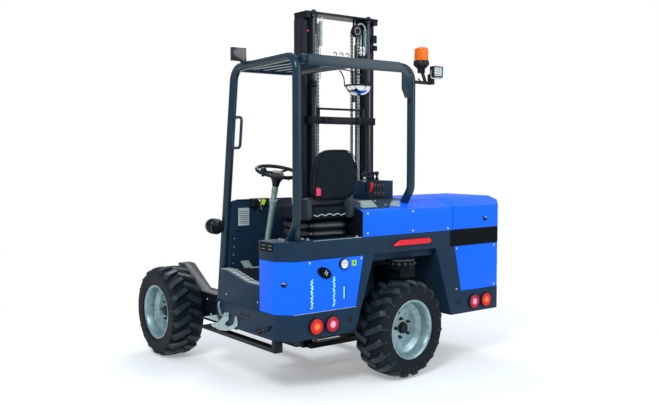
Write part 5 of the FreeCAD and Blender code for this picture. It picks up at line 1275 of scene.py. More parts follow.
# ---------------------------------------------------------------- roof fittings
@dataclass
class Roof:
    """Beacon glass, work lamp faces, mirror rim, and the small wires and cables on the roof."""

    beacon: tuple[float, float] = (0.045, -0.238)
    beacon_low: float = 2.222
    beacon_high: float = 2.322
    beacon_radius: float = 0.050
    mirror: tuple[float, float, float] = (0.330, 0.112, 2.051)
    mirror_radius: float = 0.094

    def dome(self) -> Form:
        """Beacon glass: a tapering ribbed cup, radius r(1 + 0.02 cos 24 angle), rounded over the top."""
        steps = 192
        angle = circle(steps)
        high = self.beacon_high - self.beacon_low
        s = np.linspace(0, 1, 26)
        z = np.where(s < 0.75, s / 0.75 * high * 0.86,
                     high * (0.86 + 0.14 * np.sin((s - 0.75) / 0.25 * math.pi / 2)))
        r = np.where(s < 0.75, self.beacon_radius * (1 - 0.05 * s / 0.75),
                     self.beacon_radius * 0.95 * np.cos((s - 0.75) / 0.25 * math.pi / 2) ** 0.42)
        ribs = 1 + 0.022 * np.cos(24 * angle)[None, :] * (s < 0.76)[:, None]
        points = np.zeros((26, steps, 3))
        points[..., 0] = (r[:, None] * ribs) * np.cos(angle)
        points[..., 1] = (r[:, None] * ribs) * np.sin(angle)
        points[..., 2] = z[:, None]
        form = grid(points * (0.985, 0.985, 1), closed_v=True)
        foot = lathe([(0, 0), (0, self.beacon_radius * 0.9)], 48)
        return (form + foot).moved(at(*self.beacon, self.beacon_low))

    def lamp_faces(self, bench: Bench) -> None:
        """Window, cooling fins, bracket and cable of the square lamps, and the round side lamp's window."""
        low, high = (np.array(corner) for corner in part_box("work_lamps"))
        x = low[0]
        window = brick((x - 0.003, -0.331, 2.114), (x + 0.001, -0.253, 2.174))
        bench.piece("rear_lamp_window", window, CUPS, bevel=0.002)
        outer = np.array([(-0.338, 2.106), (-0.246, 2.106), (-0.246, 2.182), (-0.338, 2.182)])
        hole = (outer - outer.mean(0)) * (0.85, 0.80) + outer.mean(0)
        rings = ((hole, -0.006), (outer, -0.004), (outer, 0.004), (hole, 0.0))
        rim = np.array([np.column_stack([np.full(4, x + shift), ring]) for ring, shift in rings])
        bench.piece("rear_lamp_frame", grid(rim, closed_u=True, closed_v=True), BLACK_PLASTIC, bevel=0.001)
        fin = brick((x + 0.034, -0.334, 2.110), (x + 0.046, -0.331, 2.178))
        bench.piece("rear_lamp_fins", fin.arrayed([(0, 0.0095 * n, 0) for n in range(9)]), BLACK_PLASTIC)
        stay = rounded([(x + 0.016, -0.344, 2.150), (x + 0.016, -0.344, 2.098), (x + 0.016, -0.240, 2.098),
                        (x + 0.016, -0.240, 2.150)], 0.008)
        bench.piece("rear_lamp_stirrup", tube(stay, 0.0048, 10), SILVER)
        cable = curve([(x + 0.030, -0.262, 2.112), (x + 0.040, -0.262, 2.080), (x + 0.060, -0.240, 2.062),
                       (x + 0.072, -0.205, 2.072), (x + 0.078, -0.170, 2.096)], 40)
        bench.piece("rear_lamp_cable", tube(cable, 0.0042, 10), BLACK_RUBBER)
        y, z = high[1] - 0.052, 1.060
        glass = lathe([(high[0] - 0.001 - STEER_AXIS_X, 0.045), (high[0] + 0.002 - STEER_AXIS_X, 0.040),
                       (high[0] + 0.005 - STEER_AXIS_X, 0.0)], 40, Axis.X, at(0, y, z))
        bench.piece("side_lamp_window", glass, CUPS)
        fins = lathe([(0, 0.0525), (0, 0.0545), (0.003, 0.0545), (0.003, 0.0525)], 40, Axis.X, at(0.735, y, z),
                     closed=True)
        bench.piece("side_lamp_fins", fins.arrayed([(0.010 * n, 0, 0) for n in range(6)]), BLACK_PLASTIC)

    def bowl(self) -> Form:
        """The mirror: a cap of a sphere that swells downwards, its height by the cosine of its angle."""
        t = np.linspace(0, math.pi / 2, 26)
        profile = np.column_stack([-0.072 * np.cos(t), self.mirror_radius * 0.985 * np.sin(t)])
        inner = profile[::-1] * (0.93, 0.96)
        return lathe(np.vstack([profile, inner]), 72, centre=at(*self.mirror))

    def build(self, bench: Bench) -> None:
        """All roof fittings."""
        amber = Lens("Amber", "amber_lens", (0.80, 0.135, 0.002), (0.95, 0.24, 0.01), glow=0.03)
        bench.piece("beacon_glass", self.dome(), amber, replaces=("beacon",))
        x, y = self.beacon
        collar = lathe([(-0.006, 0.040), (-0.006, 0.0520), (0.004, 0.0535), (0.006, 0.0515), (0.006, 0.040)],
                       48, centre=at(x, y, self.beacon_low), closed=True)
        bench.piece("beacon_collar", collar, BLACK_RUBBER)
        bench.piece("mirror_bowl", self.bowl(), DOME, replaces=("mirror",))
        t = circle(72)
        loop = np.column_stack([self.mirror_radius * np.cos(t), self.mirror_radius * np.sin(t), 0 * t])
        rim = tube(loop + at(*self.mirror), 0.0065, 12, closed=True)
        bench.piece("mirror_rim", rim, BLACK_RUBBER)
        x, y, z = self.mirror
        rail = [(x, 0.300, 2.160), (x, 0.378, 2.163)]
        left = [(x + 0.057, y + 0.075, z), (x + 0.058, y + 0.086, z + 0.06), (x + 0.03, y + 0.14, z + 0.102)]
        right = [(x - 0.057, y - 0.075, z), (x - 0.03, y - 0.03, z + 0.06), (x - 0.01, y + 0.06, z + 0.098)]
        wires = wire(left + rail, 0.0042, 40, 8) + wire(right + rail, 0.0042, 40, 8)
        bench.piece("mirror_wires", wires, BLACK_PAINT)
        self.lamp_faces(bench)


# ---------------------------------------------------------------- mast fittings
@dataclass
class Mast:
    """Roller chains over their pulleys, hoses with spring guards, rod glands, clamps and bolts."""

    chain_y: float = 0.196
    chain_rear: float = 0.702
    pulley_x: float = 0.742
    pulley_z: float = 2.500
    pulley_radius: float = 0.040
    chain_low: float = 0.640
    link_pitch: float = 0.0254
    plate_half: float = 0.0115
    rod_x: float = 0.661
    rod_y: float = 0.262
    barrel_top: float = 2.100
    hose_x: float = 0.668

    def link(self) -> Form:
        """One link: two waisted side plates and the pin through them, with the pitch along Z."""
        half, waist = 0.0062, 0.0042
        t = np.linspace(-math.pi / 2, math.pi / 2, 7)
        z = self.link_pitch / 2
        right = np.column_stack([half * np.cos(t), z + half * np.sin(t)])
        upper = np.vstack([[(waist, 0)], right[1:], (right[1:] * (-1, 1))[::-1], [(-waist, 0)]])
        outline = np.vstack([upper, (upper[1:-1] * (1, -1))[::-1]])
        half_y, plate = self.plate_half, 0.004
        plates = joined(slab(outline, Plane.XZ, low, low + plate)
                        for low in (-half_y, -plate / 2, half_y - plate))
        pins = pin((0, -self.plate_half - 0.0004, z), (0, self.plate_half + 0.0004, z), 0.0034, 10)
        return plates + pins

    def chain_path(self) -> np.ndarray:
        """Middles of the links: up behind the pulley, half round it and down in front, one pitch apart."""
        rise = np.arange(self.chain_low, self.pulley_z, self.link_pitch)
        turns = np.linspace(math.pi, 0, int(math.pi * self.pulley_radius / self.link_pitch) + 2)
        arc = np.column_stack([self.pulley_x + self.pulley_radius * np.cos(turns),
                               self.pulley_z + self.pulley_radius * np.sin(turns)])
        up = np.column_stack([np.full(len(rise), self.chain_rear), rise])
        down = np.column_stack([np.full(len(rise), self.pulley_x + self.pulley_radius), rise[::-1]])
        return np.vstack([up, arc, down])

    def chains(self) -> Form:
        """Both chains: a link at each place, turned to follow the path."""
        path = self.chain_path()
        way = np.gradient(path, axis=0)
        turns = [rotation(Axis.Y, math.degrees(math.atan2(dx, dz))) for dx, dz in way]
        return joined(self.link().repeated(turns, [at(x, side * self.chain_y, z) for x, z in path])
                      for side in SIDES)

    def pulley(self, radius: float, half: float) -> Form:
        """A grooved wheel along Y with raised cheeks and a hub."""
        profile = symmetric([
            (-half, 0), (-half, radius * 0.35), (-half + 0.002, radius * 0.4), (-half + 0.002, radius * 0.8),
            (-half, radius * 0.85), (-half, radius), (-half + 0.0025, radius), (-half + 0.004, radius * 0.84)])
        return lathe(profile, 48, Axis.Y)

    def spring(self, knots: Sequence[Sequence[float]], radius: float, pitch: float, thick: float) -> Form:
        """A wire coil round a hose: a helix whose angle grows with the way along the line."""
        length = float(np.sum(np.linalg.norm(np.diff(np.array(knots), axis=0), axis=1)))
        turns = length / pitch
        count = int(turns * 12)
        line = curve(knots, count)
        way = np.gradient(line, axis=0)
        way /= np.linalg.norm(way, axis=1, keepdims=True)
        side = np.cross(way, (0.0, 0.2, 1.0) if abs(way[0][2]) < 0.9 else (0.0, 1.0, 0.0))
        side /= np.linalg.norm(side, axis=1, keepdims=True)
        other = np.cross(way, side)
        angle = np.linspace(0, 2 * math.pi * turns, count)[:, None]
        return tube(line + radius * (np.cos(angle) * side + np.sin(angle) * other), thick, 6)

    def build(self, bench: Bench) -> None:
        """Everything on the mast."""
        body = Body.MAST_UPPER
        bench.piece("roller_chains", self.chains(), CHAIN_STEEL, body, replaces=("lift_chains",))
        places = [at(self.pulley_x, side * self.chain_y, self.pulley_z) for side in SIDES]
        wheels = self.pulley(self.pulley_radius - 0.0065, self.plate_half).arrayed(places)
        hubs = (brick((-0.012, -0.0155, 0.0), (0.012, -0.0125, 0.094))
                + brick((-0.012, 0.0125, 0.0), (0.012, 0.0155, 0.094))
                + pin((0, -0.019, 0), (0, 0.019, 0), 0.010, 24)).arrayed(places)
        bench.piece("chain_pulleys", wheels, SILVER, body)
        bench.piece("pulley_hangers", hubs, BLACK_PAINT, body, bevel=0.0008)
        self.hoses(bench)
        self.rod_fittings(bench)

    def hoses(self, bench: Bench) -> None:
        """Hose loops under the top plate: pulley, silver hose, coil guards and their hook rods."""
        body, x = Body.MAST_UPPER, self.hose_x
        wheel = self.pulley(0.046, 0.010).turned(Axis.Z, 90).moved(at(x, -0.150, 2.502))
        bench.piece("hose_pulley", wheel, BLACK_PAINT, body)
        t = circle(40)
        ring = np.column_stack([0 * t, 0.026 * np.cos(t), 0.026 * np.sin(t)])
        arc = tube(at(x - 0.0125, -0.150, 2.502) + ring, 0.0035, 8, closed=True)
        bench.piece("hose_pulley_trim", arc, SILVER, body)
        outer = [(x, y, z) for y, z in ((-0.146, 2.470), (-0.148, 2.516), (-0.172, 2.556), (-0.208, 2.560),
                                        (-0.234, 2.528), (-0.236, 2.440), (-0.236, 2.330))]
        inner = [(x + 0.018, y, z) for y, z in ((-0.150, 2.470), (-0.152, 2.508), (-0.168, 2.536),
                                                (-0.192, 2.538), (-0.207, 2.510), (-0.208, 2.330))]
        bench.piece("supply_hoses", wire(outer, 0.0062, 80, 14) + wire(inner, 0.0062, 80, 14), PEDAL, body)
        lower = [(x, -0.112, 2.200), (x, -0.118, 1.960)]
        twin = [(x, -0.140, 2.395), (x, -0.140, 2.200), (x, -0.143, 1.960)]
        bench.piece("twin_hoses", wire(lower, 0.0095, 20, 14) + wire(twin, 0.0095, 30, 14), BLACK_RUBBER, body)
        guards = (self.spring([at(x, -0.236, 2.520), at(x, -0.236, 2.340)], 0.0125, 0.0105, 0.0030)
                  + self.spring([at(x, 0.195, 2.545), at(x, 0.195, 2.360)], 0.0125, 0.0125, 0.0046))
        bench.piece("spring_guards", guards, PEDAL, body)
        cheeks = (block((0.642, 0.300, 2.5575), (0.798, 0.341, 2.5945))
                  + block((0.642, -0.341, 2.5575), (0.798, -0.300, 2.5945)))
        bench.piece("mast_head_cheeks", cheeks, BLACK_PAINT, body, bevel=0.002)
        loop = [(x, y, z) for y, z in ((0.195, 2.520), (0.195, 2.556), (0.181, 2.572), (0.168, 2.556),
                                       (0.172, 2.536))]
        rod = wire([(x, 0.195, 2.350), (x, 0.196, 2.250), (x, 0.197, 2.120)], 0.0040, 20, 10)
        bench.piece("guard_hooks", wire(loop, 0.0042, 36, 10) + rod, SILVER, body)
        fittings = joined(pin(at(x, y, 2.318), at(x, y, 2.392), 0.0085, 18)
                          + hexagon_head(at(x, y, 2.340), UP, 0.022, 0.014)
                          + hexagon_head(at(x, y, 2.378), UP, 0.019, 0.012) for y in (-0.192, -0.222))
        bench.piece("hose_fittings", fittings, CHROME, body)
        base = around(at(x, -0.207, 2.306), (0.030, 0.072, 0.026))
        clamps = (around(at(0.652, -0.315, 2.452), (0.020, 0.040, 0.060))
                  + around(at(0.652, -0.322, 2.384), (0.020, 0.034, 0.040)))
        bench.piece("hose_clamps", base + clamps, BLACK_PAINT, body, bevel=0.003)
        mark = around(at(0.6385, 0.330, 2.460), (0.002, 0.014, 0.012))
        bench.piece("mast_mark", mark, RED_KNOB, body)

    def rod_fittings(self, bench: Bench) -> None:
        """Glands on the lift cylinders, rod nuts, bolts on the cross bars and loops on the beam."""
        gland = lathe([(-0.045, 0), (-0.045, 0.0235), (-0.002, 0.0235), (0.004, 0.021), (0.004, 0)], 32)
        spots = [at(self.rod_x, side * self.rod_y, self.barrel_top) for side in SIDES]
        ring = lathe([(-0.030, 0.0235), (-0.030, 0.0248), (-0.024, 0.0248), (-0.024, 0.0235)], 32, closed=True)
        bench.piece("cylinder_glands", gland.arrayed(spots), BLACK_PAINT, Body.MAST)
        bench.piece("gland_rings", ring.arrayed(spots), DARK_STEEL, Body.MAST)
        nuts = joined(hexagon_head(at(self.rod_x, side * self.rod_y, z), UP, width, high)
                      for side in SIDES for z, width, high in ((2.572, 0.044, 0.018), (2.6062, 0.030, 0.014)))
        bench.piece("rod_nuts", nuts, DARK_STEEL, Body.MAST_UPPER)
        heads = joined(hexagon_head(at(0.6295, y, z), REARWARD, 0.015, 0.008)
                       for z in (1.800, 1.828) for y in (-0.190, -0.130, 0.130, 0.190))
        bench.piece("cross_bar_bolts", heads, BLACK_PAINT, Body.MAST)
        loops = joined(wire([(-0.042, y, 2.196), (-0.052, y, 2.206), (-0.044, y + 0.012, 2.216),
                             (-0.036, y + 0.016, 2.204)], 0.0028, 16, 8) for y in (0.50, 0.55, 0.60))
        bench.piece("beam_loops", loops, DARK_STEEL)


# ---------------------------------------------------------------- fittings over the rear wheel and on the legs
@dataclass
class Underbody:
    """Turntable edge and bolts over the rear wheel, and bolts on the legs."""

    table_radius: float = 0.1035
    table_high: float = 0.838

    def build(self, bench: Bench) -> None:
        """Edge, turntable bolts and leg bolts."""
        centre = np.array([STEER_AXIS_X, 0.0, 0.0])
        inner, outer = self.table_radius, self.table_radius + 0.0022
        edge = lathe([(0, inner), (0, outer), (0.010, outer), (0.010, inner)], 72,
                     centre=centre + (0, 0, self.table_high - 0.014), closed=True)
        bench.piece("turntable_edge", edge, DARK_STEEL, Body.REAR_STEER)
        bolt = hexagon_head((self.table_radius + 0.002, 0, self.table_high - 0.034), (1, 0, 0), 0.015, 0.008)
        bench.piece("turntable_bolts", ring_of(bolt, 16, Axis.Z).moved(centre), DARK_STEEL, Body.REAR_STEER)
        spots = ((0.80, 0.40), (0.80, 0.46), (1.50, 0.40), (1.58, 0.40), (1.50, 0.46), (1.58, 0.46))
        heads = joined(hexagon_head(at(x, side * 0.8602, z), (0, side, 0), 0.020, 0.010)
                       for side in SIDES for x, z in spots)
        bench.piece("leg_bolts", heads, SILVER)


# ---------------------------------------------------------------- rear lamps
@dataclass
class Lamps:
    """Round rear lamps in rubber rings, and the slanted lamp on the belt."""

    face_x: float = -0.065
    radius: float = 0.046
    ring_radius: float = 0.057
    depth: float = 0.0155
    lens_share: float = 0.865
    heart_radius: float = 0.029
    belt_lamp_outline: tuple[tuple[float, float], ...] = (
        (0.139, 0.9335), (0.128, 0.944), (0.070, 0.9715), (-0.214, 0.9715), (-0.232, 0.962), (-0.239, 0.950),
        (-0.230, 0.938), (-0.205, 0.9315), (0.125, 0.9312))

    def places(self, node: str) -> list[tuple[float, float]]:
        """Middles of a node's two lamps as (y, z), from its box."""
        (_, low_y, low_z), (_, high_y, high_z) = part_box(node)
        return [(high_y - self.radius, (low_z + high_z) / 2), (low_y + self.radius, (low_z + high_z) / 2)]

    def ring(self) -> Form:
        """The rubber ring: a turned lip round the lens."""
        r, d = self.ring_radius, self.depth
        return lathe([(-d, r * 0.875), (-d - 0.001, r * 0.90), (-d, r * 0.98), (-d * 0.6, r), (0, r),
                      (0, r * 0.875)], 64, Axis.X, closed=True)

    def glass(self) -> Form:
        """The lens: a dome whose height falls with the square of the radius, with fine moulded rings."""
        share = np.linspace(0, 1, 46)
        ripple = 0.00045 * np.cos(share * math.pi * 16)
        along = -self.depth - 0.0022 * (1 - share**2) + ripple
        profile = np.column_stack([along, share * self.ring_radius * self.lens_share])
        return lathe(np.vstack([profile, [(-0.001, self.ring_radius * 0.875), (-0.001, 0)]]), 64, Axis.X)

    def belt_lens(self, grow: float, low: float, high: float) -> Form:
        """The belt lamp's outline, grown from its middle, carried from one x to another."""
        outline = np.array(self.belt_lamp_outline)
        middle = outline.mean(0)
        outline = middle + (outline - middle) * grow
        return rear_plate(outline, low, high)

    def build(self, bench: Bench) -> None:
        """Four round lamps and the belt lamp."""
        x = self.face_x + STEER_AXIS_X
        offsets = {node: [(x, y, z) for y, z in self.places(node)] for node in ("turn_lamps", "tail_lamps")}
        every = offsets["turn_lamps"] + offsets["tail_lamps"]
        bench.piece("lamp_rings", self.ring().arrayed(every), BLACK_RUBBER)
        hearts = {"turn_lamps": (1.0, 0.22, 0.03), "tail_lamps": (1.0, 0.42, 0.56)}
        tints = {"turn_lamps": (0.78, 0.006, 0.001), "tail_lamps": (0.52, 0.000, 0.040)}
        for node, slot in (("turn_lamps", "amber_lens"), ("tail_lamps", "red_lens")):
            lens = Lens(node.title(), slot, tints[node], hearts[node], tuple(self.places(node)),
                        self.heart_radius, 0.10)
            bench.piece(node + "_lenses", self.glass().arrayed(offsets[node]), lens, replaces=(node,))
        bench.piece("belt_lamp_gasket", self.belt_lens(1.0, -0.0720, -0.0650), BLACK_RUBBER, bevel=0.002)
        red = Lens("BeltRed", "red_lens", (0.72, 0.003, 0.020), (0.95, 0.05, 0.08), glow=0.12)
        bench.piece("belt_lamp_lens", self.belt_lens(0.965, -0.0800, -0.0650), red, replaces=("belt_lamp",),
                    bevel=0.006, segments=4)


# ---------------------------------------------------------------- fittings on the bodywork
@dataclass
class Fittings:
    """Screws, locks, filler cap, dial, tie slots, plates, seal and step tread on the bodywork."""

    rear_x: float = -0.065
    panel_x: float = -0.063
    side_y: float = 1.040
    screw_radius: float = 0.0078
    hood_screws: tuple[tuple[float, float], ...] = (
        (0.349, 1.166), (0.349, 1.034), (-0.064, 1.163), (-0.064, 1.030), (-0.410, 1.026))
    left_screws: tuple[tuple[float, float], ...] = ((0.826, 0.872), (0.401, 0.872))
    right_screws: tuple[tuple[float, float], ...] = ((-0.505, 0.872), (-0.913, 0.872), (-0.505, 0.572),
                                                     (-0.913, 0.572))
    side_screws: tuple[tuple[float, float], ...] = ((0.619, 0.602), (0.219, 0.605), (0.885, 0.532),
                                                    (0.835, 0.430))
    cap: tuple[float, float] = (0.712, 0.801)
    cap_half: tuple[float, float] = (0.058, 0.034)
    cap_grip: tuple[float, float] = (0.036, 0.026)
    cap_tilt: float = 25.0
    dial: tuple[float, float] = (0.553, 0.847)
    dial_radius: float = 0.038
    tag: tuple[float, float] = (0.465, 0.846)
    tag_side: float = 0.038
    slots: tuple[tuple[float, float, float, float], ...] = (
        (0.811, 0.570, 0.774, 0.022), (0.633, 0.570, 0.774, 0.020), (0.549, 0.613, 0.702, 0.018))
    sill_pockets: tuple[float, ...] = (0.498, -0.534)
    pocket: tuple[float, float] = (0.040, 0.032)
    pocket_z: float = 0.470
    plate: tuple[float, float, float, float] = (-0.946, -0.436, 0.893, 1.007)
    hood_lock: tuple[float, float] = (-0.802, 1.080)
    panel_lock: tuple[float, float] = (0.995, 0.745)
    slope_low: float = 1.180
    slope_rate: float = 0.322

    def disc(self, profile: Sequence[Sequence[float]], y: float, z: float, x: float, steps: int = 40) -> Form:
        """A turned fitting that stands out backwards from a face, its profile as (height, radius)."""
        rows = [(-height, radius) for height, radius in profile]
        return lathe(rows, steps, Axis.X, at(x, y, z))

    def screws(self) -> Form:
        """All screw heads, with the side ones facing left."""
        rear = [(self.rear_x, *spot) for spot in self.hood_screws]
        rear += [(self.panel_x, *spot) for spot in self.left_screws + self.right_screws]
        return joined([screw_head(at(*spot), REARWARD, self.screw_radius) for spot in rear]
                      + [screw_head(at(x, self.side_y, z), (0, 1, 0), self.screw_radius * 0.8)
                         for x, z in self.side_screws])

    def oblong(self, y: float, low: float, high: float, width: float, rise: float, x: float) -> Form:
        """A plate with round ends, standing out from a face."""
        t = np.linspace(0, math.pi, 14)
        half = width / 2
        top = np.column_stack([y + half * np.cos(t), high - half + half * np.sin(t)])
        foot = np.column_stack([y - half * np.cos(t), low + half - half * np.sin(t)])
        return rear_plate(np.vstack([top, foot]), x - rise, x)

    def ribbon(self, y: float, low: float, high: float, width: float, x: float) -> Form:
        """A wavy strip: a long one sways as two sines of the height, and it bulges across its width."""
        h = np.linspace(0, 1, 90)[:, None]
        across = np.linspace(-1, 1, 9)[None, :]
        long = min(1.0, ((high - low) / 0.2) ** 3)
        sway = long * (0.55 * np.sin(h * 55) + 0.30 * np.sin(h * 23 + 1))
        half = width / 2 * (0.74 - 0.10 * long + 0.14 * np.sin(h * 37 + 0.5))
        points = np.zeros((90, 9, 3))
        points[..., 0] = STEER_AXIS_X + x - 0.0014 - 0.0016 * (1 - across**2) * (1 + 0.4 * np.sin(h * 60))
        points[..., 1] = y + half * across + sway * width * 0.4
        points[..., 2] = low + width * 0.3 + h * (high - low - width * 0.6)
        back = points.copy()
        back[..., 0] = STEER_AXIS_X + x
        loop = np.concatenate([points, back[:, ::-1]], 1)
        return grid(loop, closed_v=True, caps=True)

    def oval(self, half: Sequence[float], low: float, high: float, x: float) -> Form:
        """The filler cap's tilted oval, carried out from the panel."""
        t = circle(48)
        c, s = math.cos(math.radians(self.cap_tilt)), math.sin(math.radians(self.cap_tilt))
        y, z = half[0] * np.cos(t), half[1] * np.sin(t)
        outline = np.column_stack([self.cap[0] + y * c - z * s, self.cap[1] + y * s + z * c])
        return rear_plate(outline, x - high, x - low)

    def slope(self, outline: Sequence[Sequence[float]], low: float, high: float) -> Form:
        """A plate that lies on the hood's sloping edge: its height grows with x at the slope's rate.

        Args:
            outline: corners as (x, y).
            low: height of its underside above the slope.
            high: height of its top above the slope.

        Returns:
            The closed surface.
        """
        form = slab([(x + STEER_AXIS_X, y) for x, y in outline], Plane.XY, low, high)
        form.points[:, 2] += self.slope_z(form.points[:, 0] - STEER_AXIS_X)
        return form

    def slope_z(self, x: float | np.ndarray) -> float | np.ndarray:
        """Height of the hood's sloping edge at an x."""
        return self.slope_low + (x - self.rear_x) * self.slope_rate

    def instruments(self, bench: Bench) -> None:
        """Dial, filler cap and tag on the left panel."""
        x, r = self.panel_x, self.dial_radius
        edge = r * 0.80
        rim = [(0.014, edge), (0.016, r * 0.86), (0.013, r * 0.98), (0.0, r), (0.0, edge)]
        bezel = self.disc(rim, *self.dial, x)
        bench.piece("dial_bezel", bezel, BLACK_PLASTIC)
        face = self.disc([(0.012, 0), (0.012, edge), (0.0, edge)], *self.dial, x)
        bench.piece("dial_face", face, WHITE_DIAL)
        tick = around((0, 0, 0.022), (0.0012, 0.0030, 0.0070))
        turns = [rotation(Axis.X, angle) for angle in range(-120, 121, 40)]
        hand = around((0, 0, 0.008), (0.0012, 0.0035, 0.024)).turned(Axis.X, 52)
        ticks = (tick.repeated(turns) + hand).moved(at(x - 0.0124, *self.dial))
        bench.piece("dial_ticks", ticks, BLACK_PLASTIC)
        cap = self.oval(self.cap_half, 0.0, 0.010, x) + self.oval(self.cap_grip, 0.009, 0.018, x)
        bench.piece("filler_cap", cap, GLOSS_BLACK, bevel=0.003, segments=3)
        # Painted highlights: two pale slanted bars stand for the glints on the black cap.
        mark = around(at(x - 0.0175, self.cap[0] + 0.004, self.cap[1] + 0.004), (0.002, 0.006, 0.026))
        cap_highlights = (mark + mark.moved((0, -0.015, -0.004))).turned(Axis.X, self.cap_tilt, at(x, *self.cap))
        bench.piece("filler_cap_highlights", cap_highlights, PALE_PLATE, bevel=0.0006)
        (y, z), half = self.tag, self.tag_side / 2
        bench.piece("green_tag", block((x - 0.0015, y - half, z - half), (x, y + half, z + half)), GREEN_TAG,
                    bevel=0.0005)
        spot = around(at(x - 0.0017, y - 0.002, z - 0.001), (0.0010, 0.011, 0.011))
        bench.piece("green_tag_mark", spot, BLACK_PLASTIC)

    def ties(self, bench: Bench) -> None:
        """Slots in the left panel, with the straps that show in them."""
        x, rim = self.panel_x, 0.0012
        frames = joined(self.oblong(y, low, high, width + 0.006, rim, x) for y, low, high, width in self.slots)
        ribbons = joined(self.ribbon(*slot, x - rim) for slot in self.slots)
        bench.piece("tie_slots", frames, BLUE, bevel=0.0006)
        y, low, high, width = self.slots[2]
        shadow = self.oblong(y - width * 0.45, low, high, width * 0.6, 0.0032, x)
        bench.piece("tie_slot_shade", shadow, BLACK_RUBBER)
        bench.piece("tie_straps", ribbons, TEAL)

    def build(self, bench: Bench) -> None:
        """Everything on the bodywork."""
        # The screw heads are pale plastic, not bright metal: their pale colour is a painted glint.
        bench.piece("panel_screws", self.screws(), PALE_PLATE)
        self.instruments(bench)
        self.ties(bench)
        x, z, (w, h) = self.rear_x, self.pocket_z, (side / 2 for side in self.pocket)
        pockets = joined(block((x - 0.0015, y - w, z - h), (x, y + w, z + h)) for y in self.sill_pockets)
        bench.piece("sill_pockets", pockets, BLACK_RUBBER, bevel=0.0006)
        right, left, low, high = self.plate
        bench.piece("belt_plate", block((x - 0.002, right, low), (x, left, high)), GLOSS_BLACK, bevel=0.0008)
        self.locks(bench)
        self.hood_plates(bench)
        self.edges(bench)

    def locks(self, bench: Bench) -> None:
        """Round locks on the hood cover and the left panel's corner: a black cup with a pale crescent, a
        painted highlight.
        """
        cup = [(0.002, 0), (0.002, 0.011), (0.006, 0.012), (0.007, 0.016), (0.004, 0.0185), (0.0, 0.019)]
        t = np.linspace(math.radians(20), math.radians(175), 18)
        crescent = np.vstack([np.column_stack([0.015 * np.cos(t), 0.015 * np.sin(t)]),
                              np.column_stack([0.011 * np.cos(t), 0.006 * np.sin(t) + 0.002])[::-1]])
        for name, body, face_x, (y, z), slant in (
            ("hood_lock", Body.COVER, self.rear_x, self.hood_lock, 0.0),
            ("panel_lock", Body.CHASSIS, self.panel_x, self.panel_lock, -45.0),
        ):
            centre = at(face_x + max(0.0, y - 0.950), y, z)
            # Painted highlight: the pale silver crescent over the cup's top stands for its lit rim.
            cover = slab(crescent + (y, z), Plane.YZ, centre[0] - 0.011, centre[0] - 0.006)
            case = lathe([(-height, radius) for height, radius in cup], 36, Axis.X, centre)
            bench.piece(name, case.turned(Axis.Z, slant, centre), BLACK_PLASTIC, body)
            bench.piece(name + "_cover", cover.turned(Axis.Z, slant, centre), SILVER, body, bevel=0.0008)

    def hood_plates(self, bench: Bench) -> None:
        """Grey plates on the hood's sloping edge by the controls, and painted shade from the seat on the hood's
        side.
        """
        dark = [(-0.026, 0.388), (0.111, 0.388), (0.111, -0.030), (0.083, 0.000), (0.005, 0.092),
                (-0.026, 0.122)]
        bench.piece("hood_tray", self.slope(dark, 0.0, 0.003), ANTHRACITE, bevel=0.001)
        pale = [(0.110, 0.277), (0.110, 0.168), (-0.009, 0.216), (-0.009, 0.352)]
        narrow = [(0.005, 0.094), (0.083, 0.002), (0.078, -0.066), (-0.024, 0.023)]
        both = self.slope(pale, 0.003, 0.006) + self.slope(narrow, 0.003, 0.006)
        bench.piece("hood_tray_plates", both, SAGE, bevel=0.001)
        deck = block((0.112, -0.190, 1.2372), (0.420, 0.389, 1.2386))
        bench.piece("hood_top_plate", deck, GREY_PLASTIC)
        # Painted shade: a black plate on the hood's left side stands for the seat's shadow there.
        wall = side_plate(((-0.064, 1.011), (0.569, 1.011), (0.569, 1.236), (0.112, 1.236), (-0.064, 1.179)),
                          0.3901, 0.3930)
        bench.piece("hood_side_painted_shade", wall, BLACK_PAINT, bevel=0.001)
        spots = [(0.02, 0.12), (0.02, 0.24), (0.02, 0.34), (0.095, 0.30), (0.095, 0.15)]
        heads = joined(hexagon_head(at(x, y, self.slope_z(x) + 0.004), (-0.3, 0, 0.95), 0.013, 0.006)
                       for x, y in spots)
        bench.piece("hood_tray_bolts", heads, SILVER)

    def edges(self, bench: Bench) -> None:
        """Hood seal, painted highlights under the left panel and on the deck's edge, and the step bar's pale
        tread.
        """
        seal = block((-0.0655, -0.944, 1.008), (-0.055, -0.464, 1.0145))
        bench.piece("cover_seal", seal, BLACK_RUBBER, bevel=0.001)
        # Painted highlight: a thin silver strip for the lit edge under the left panel.
        strip = block((-0.0645, 0.400, 0.5505), (-0.0605, 0.948, 0.5530))
        bench.piece("panel_foot_highlight", strip, SILVER, bevel=0.0005)
        # Painted highlight: a thin silver strip for the lit edge of the deck's sheet.
        lip = block((-0.0648, 0.396, 1.0102), (-0.0600, 0.800, 1.0128))
        bench.piece("deck_edge_highlight", lip, SILVER, bevel=0.0005)
        (_, inner, _), (_, outer, top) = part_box("step_bar")
        tread = block((0.045, inner + 0.006, top), (0.980, outer - 0.006, top + 0.0025))
        bench.piece("step_tread", tread, STEP_GREY, bevel=0.001)
        ribs = around(at(0.06, (inner + outer) / 2, top + 0.003), (0.006, outer - inner - 0.02, 0.003))
        bench.piece("step_ribs", ribs.arrayed([(0.022 * n, 0, 0) for n in range(41)]), STEP_GREY)


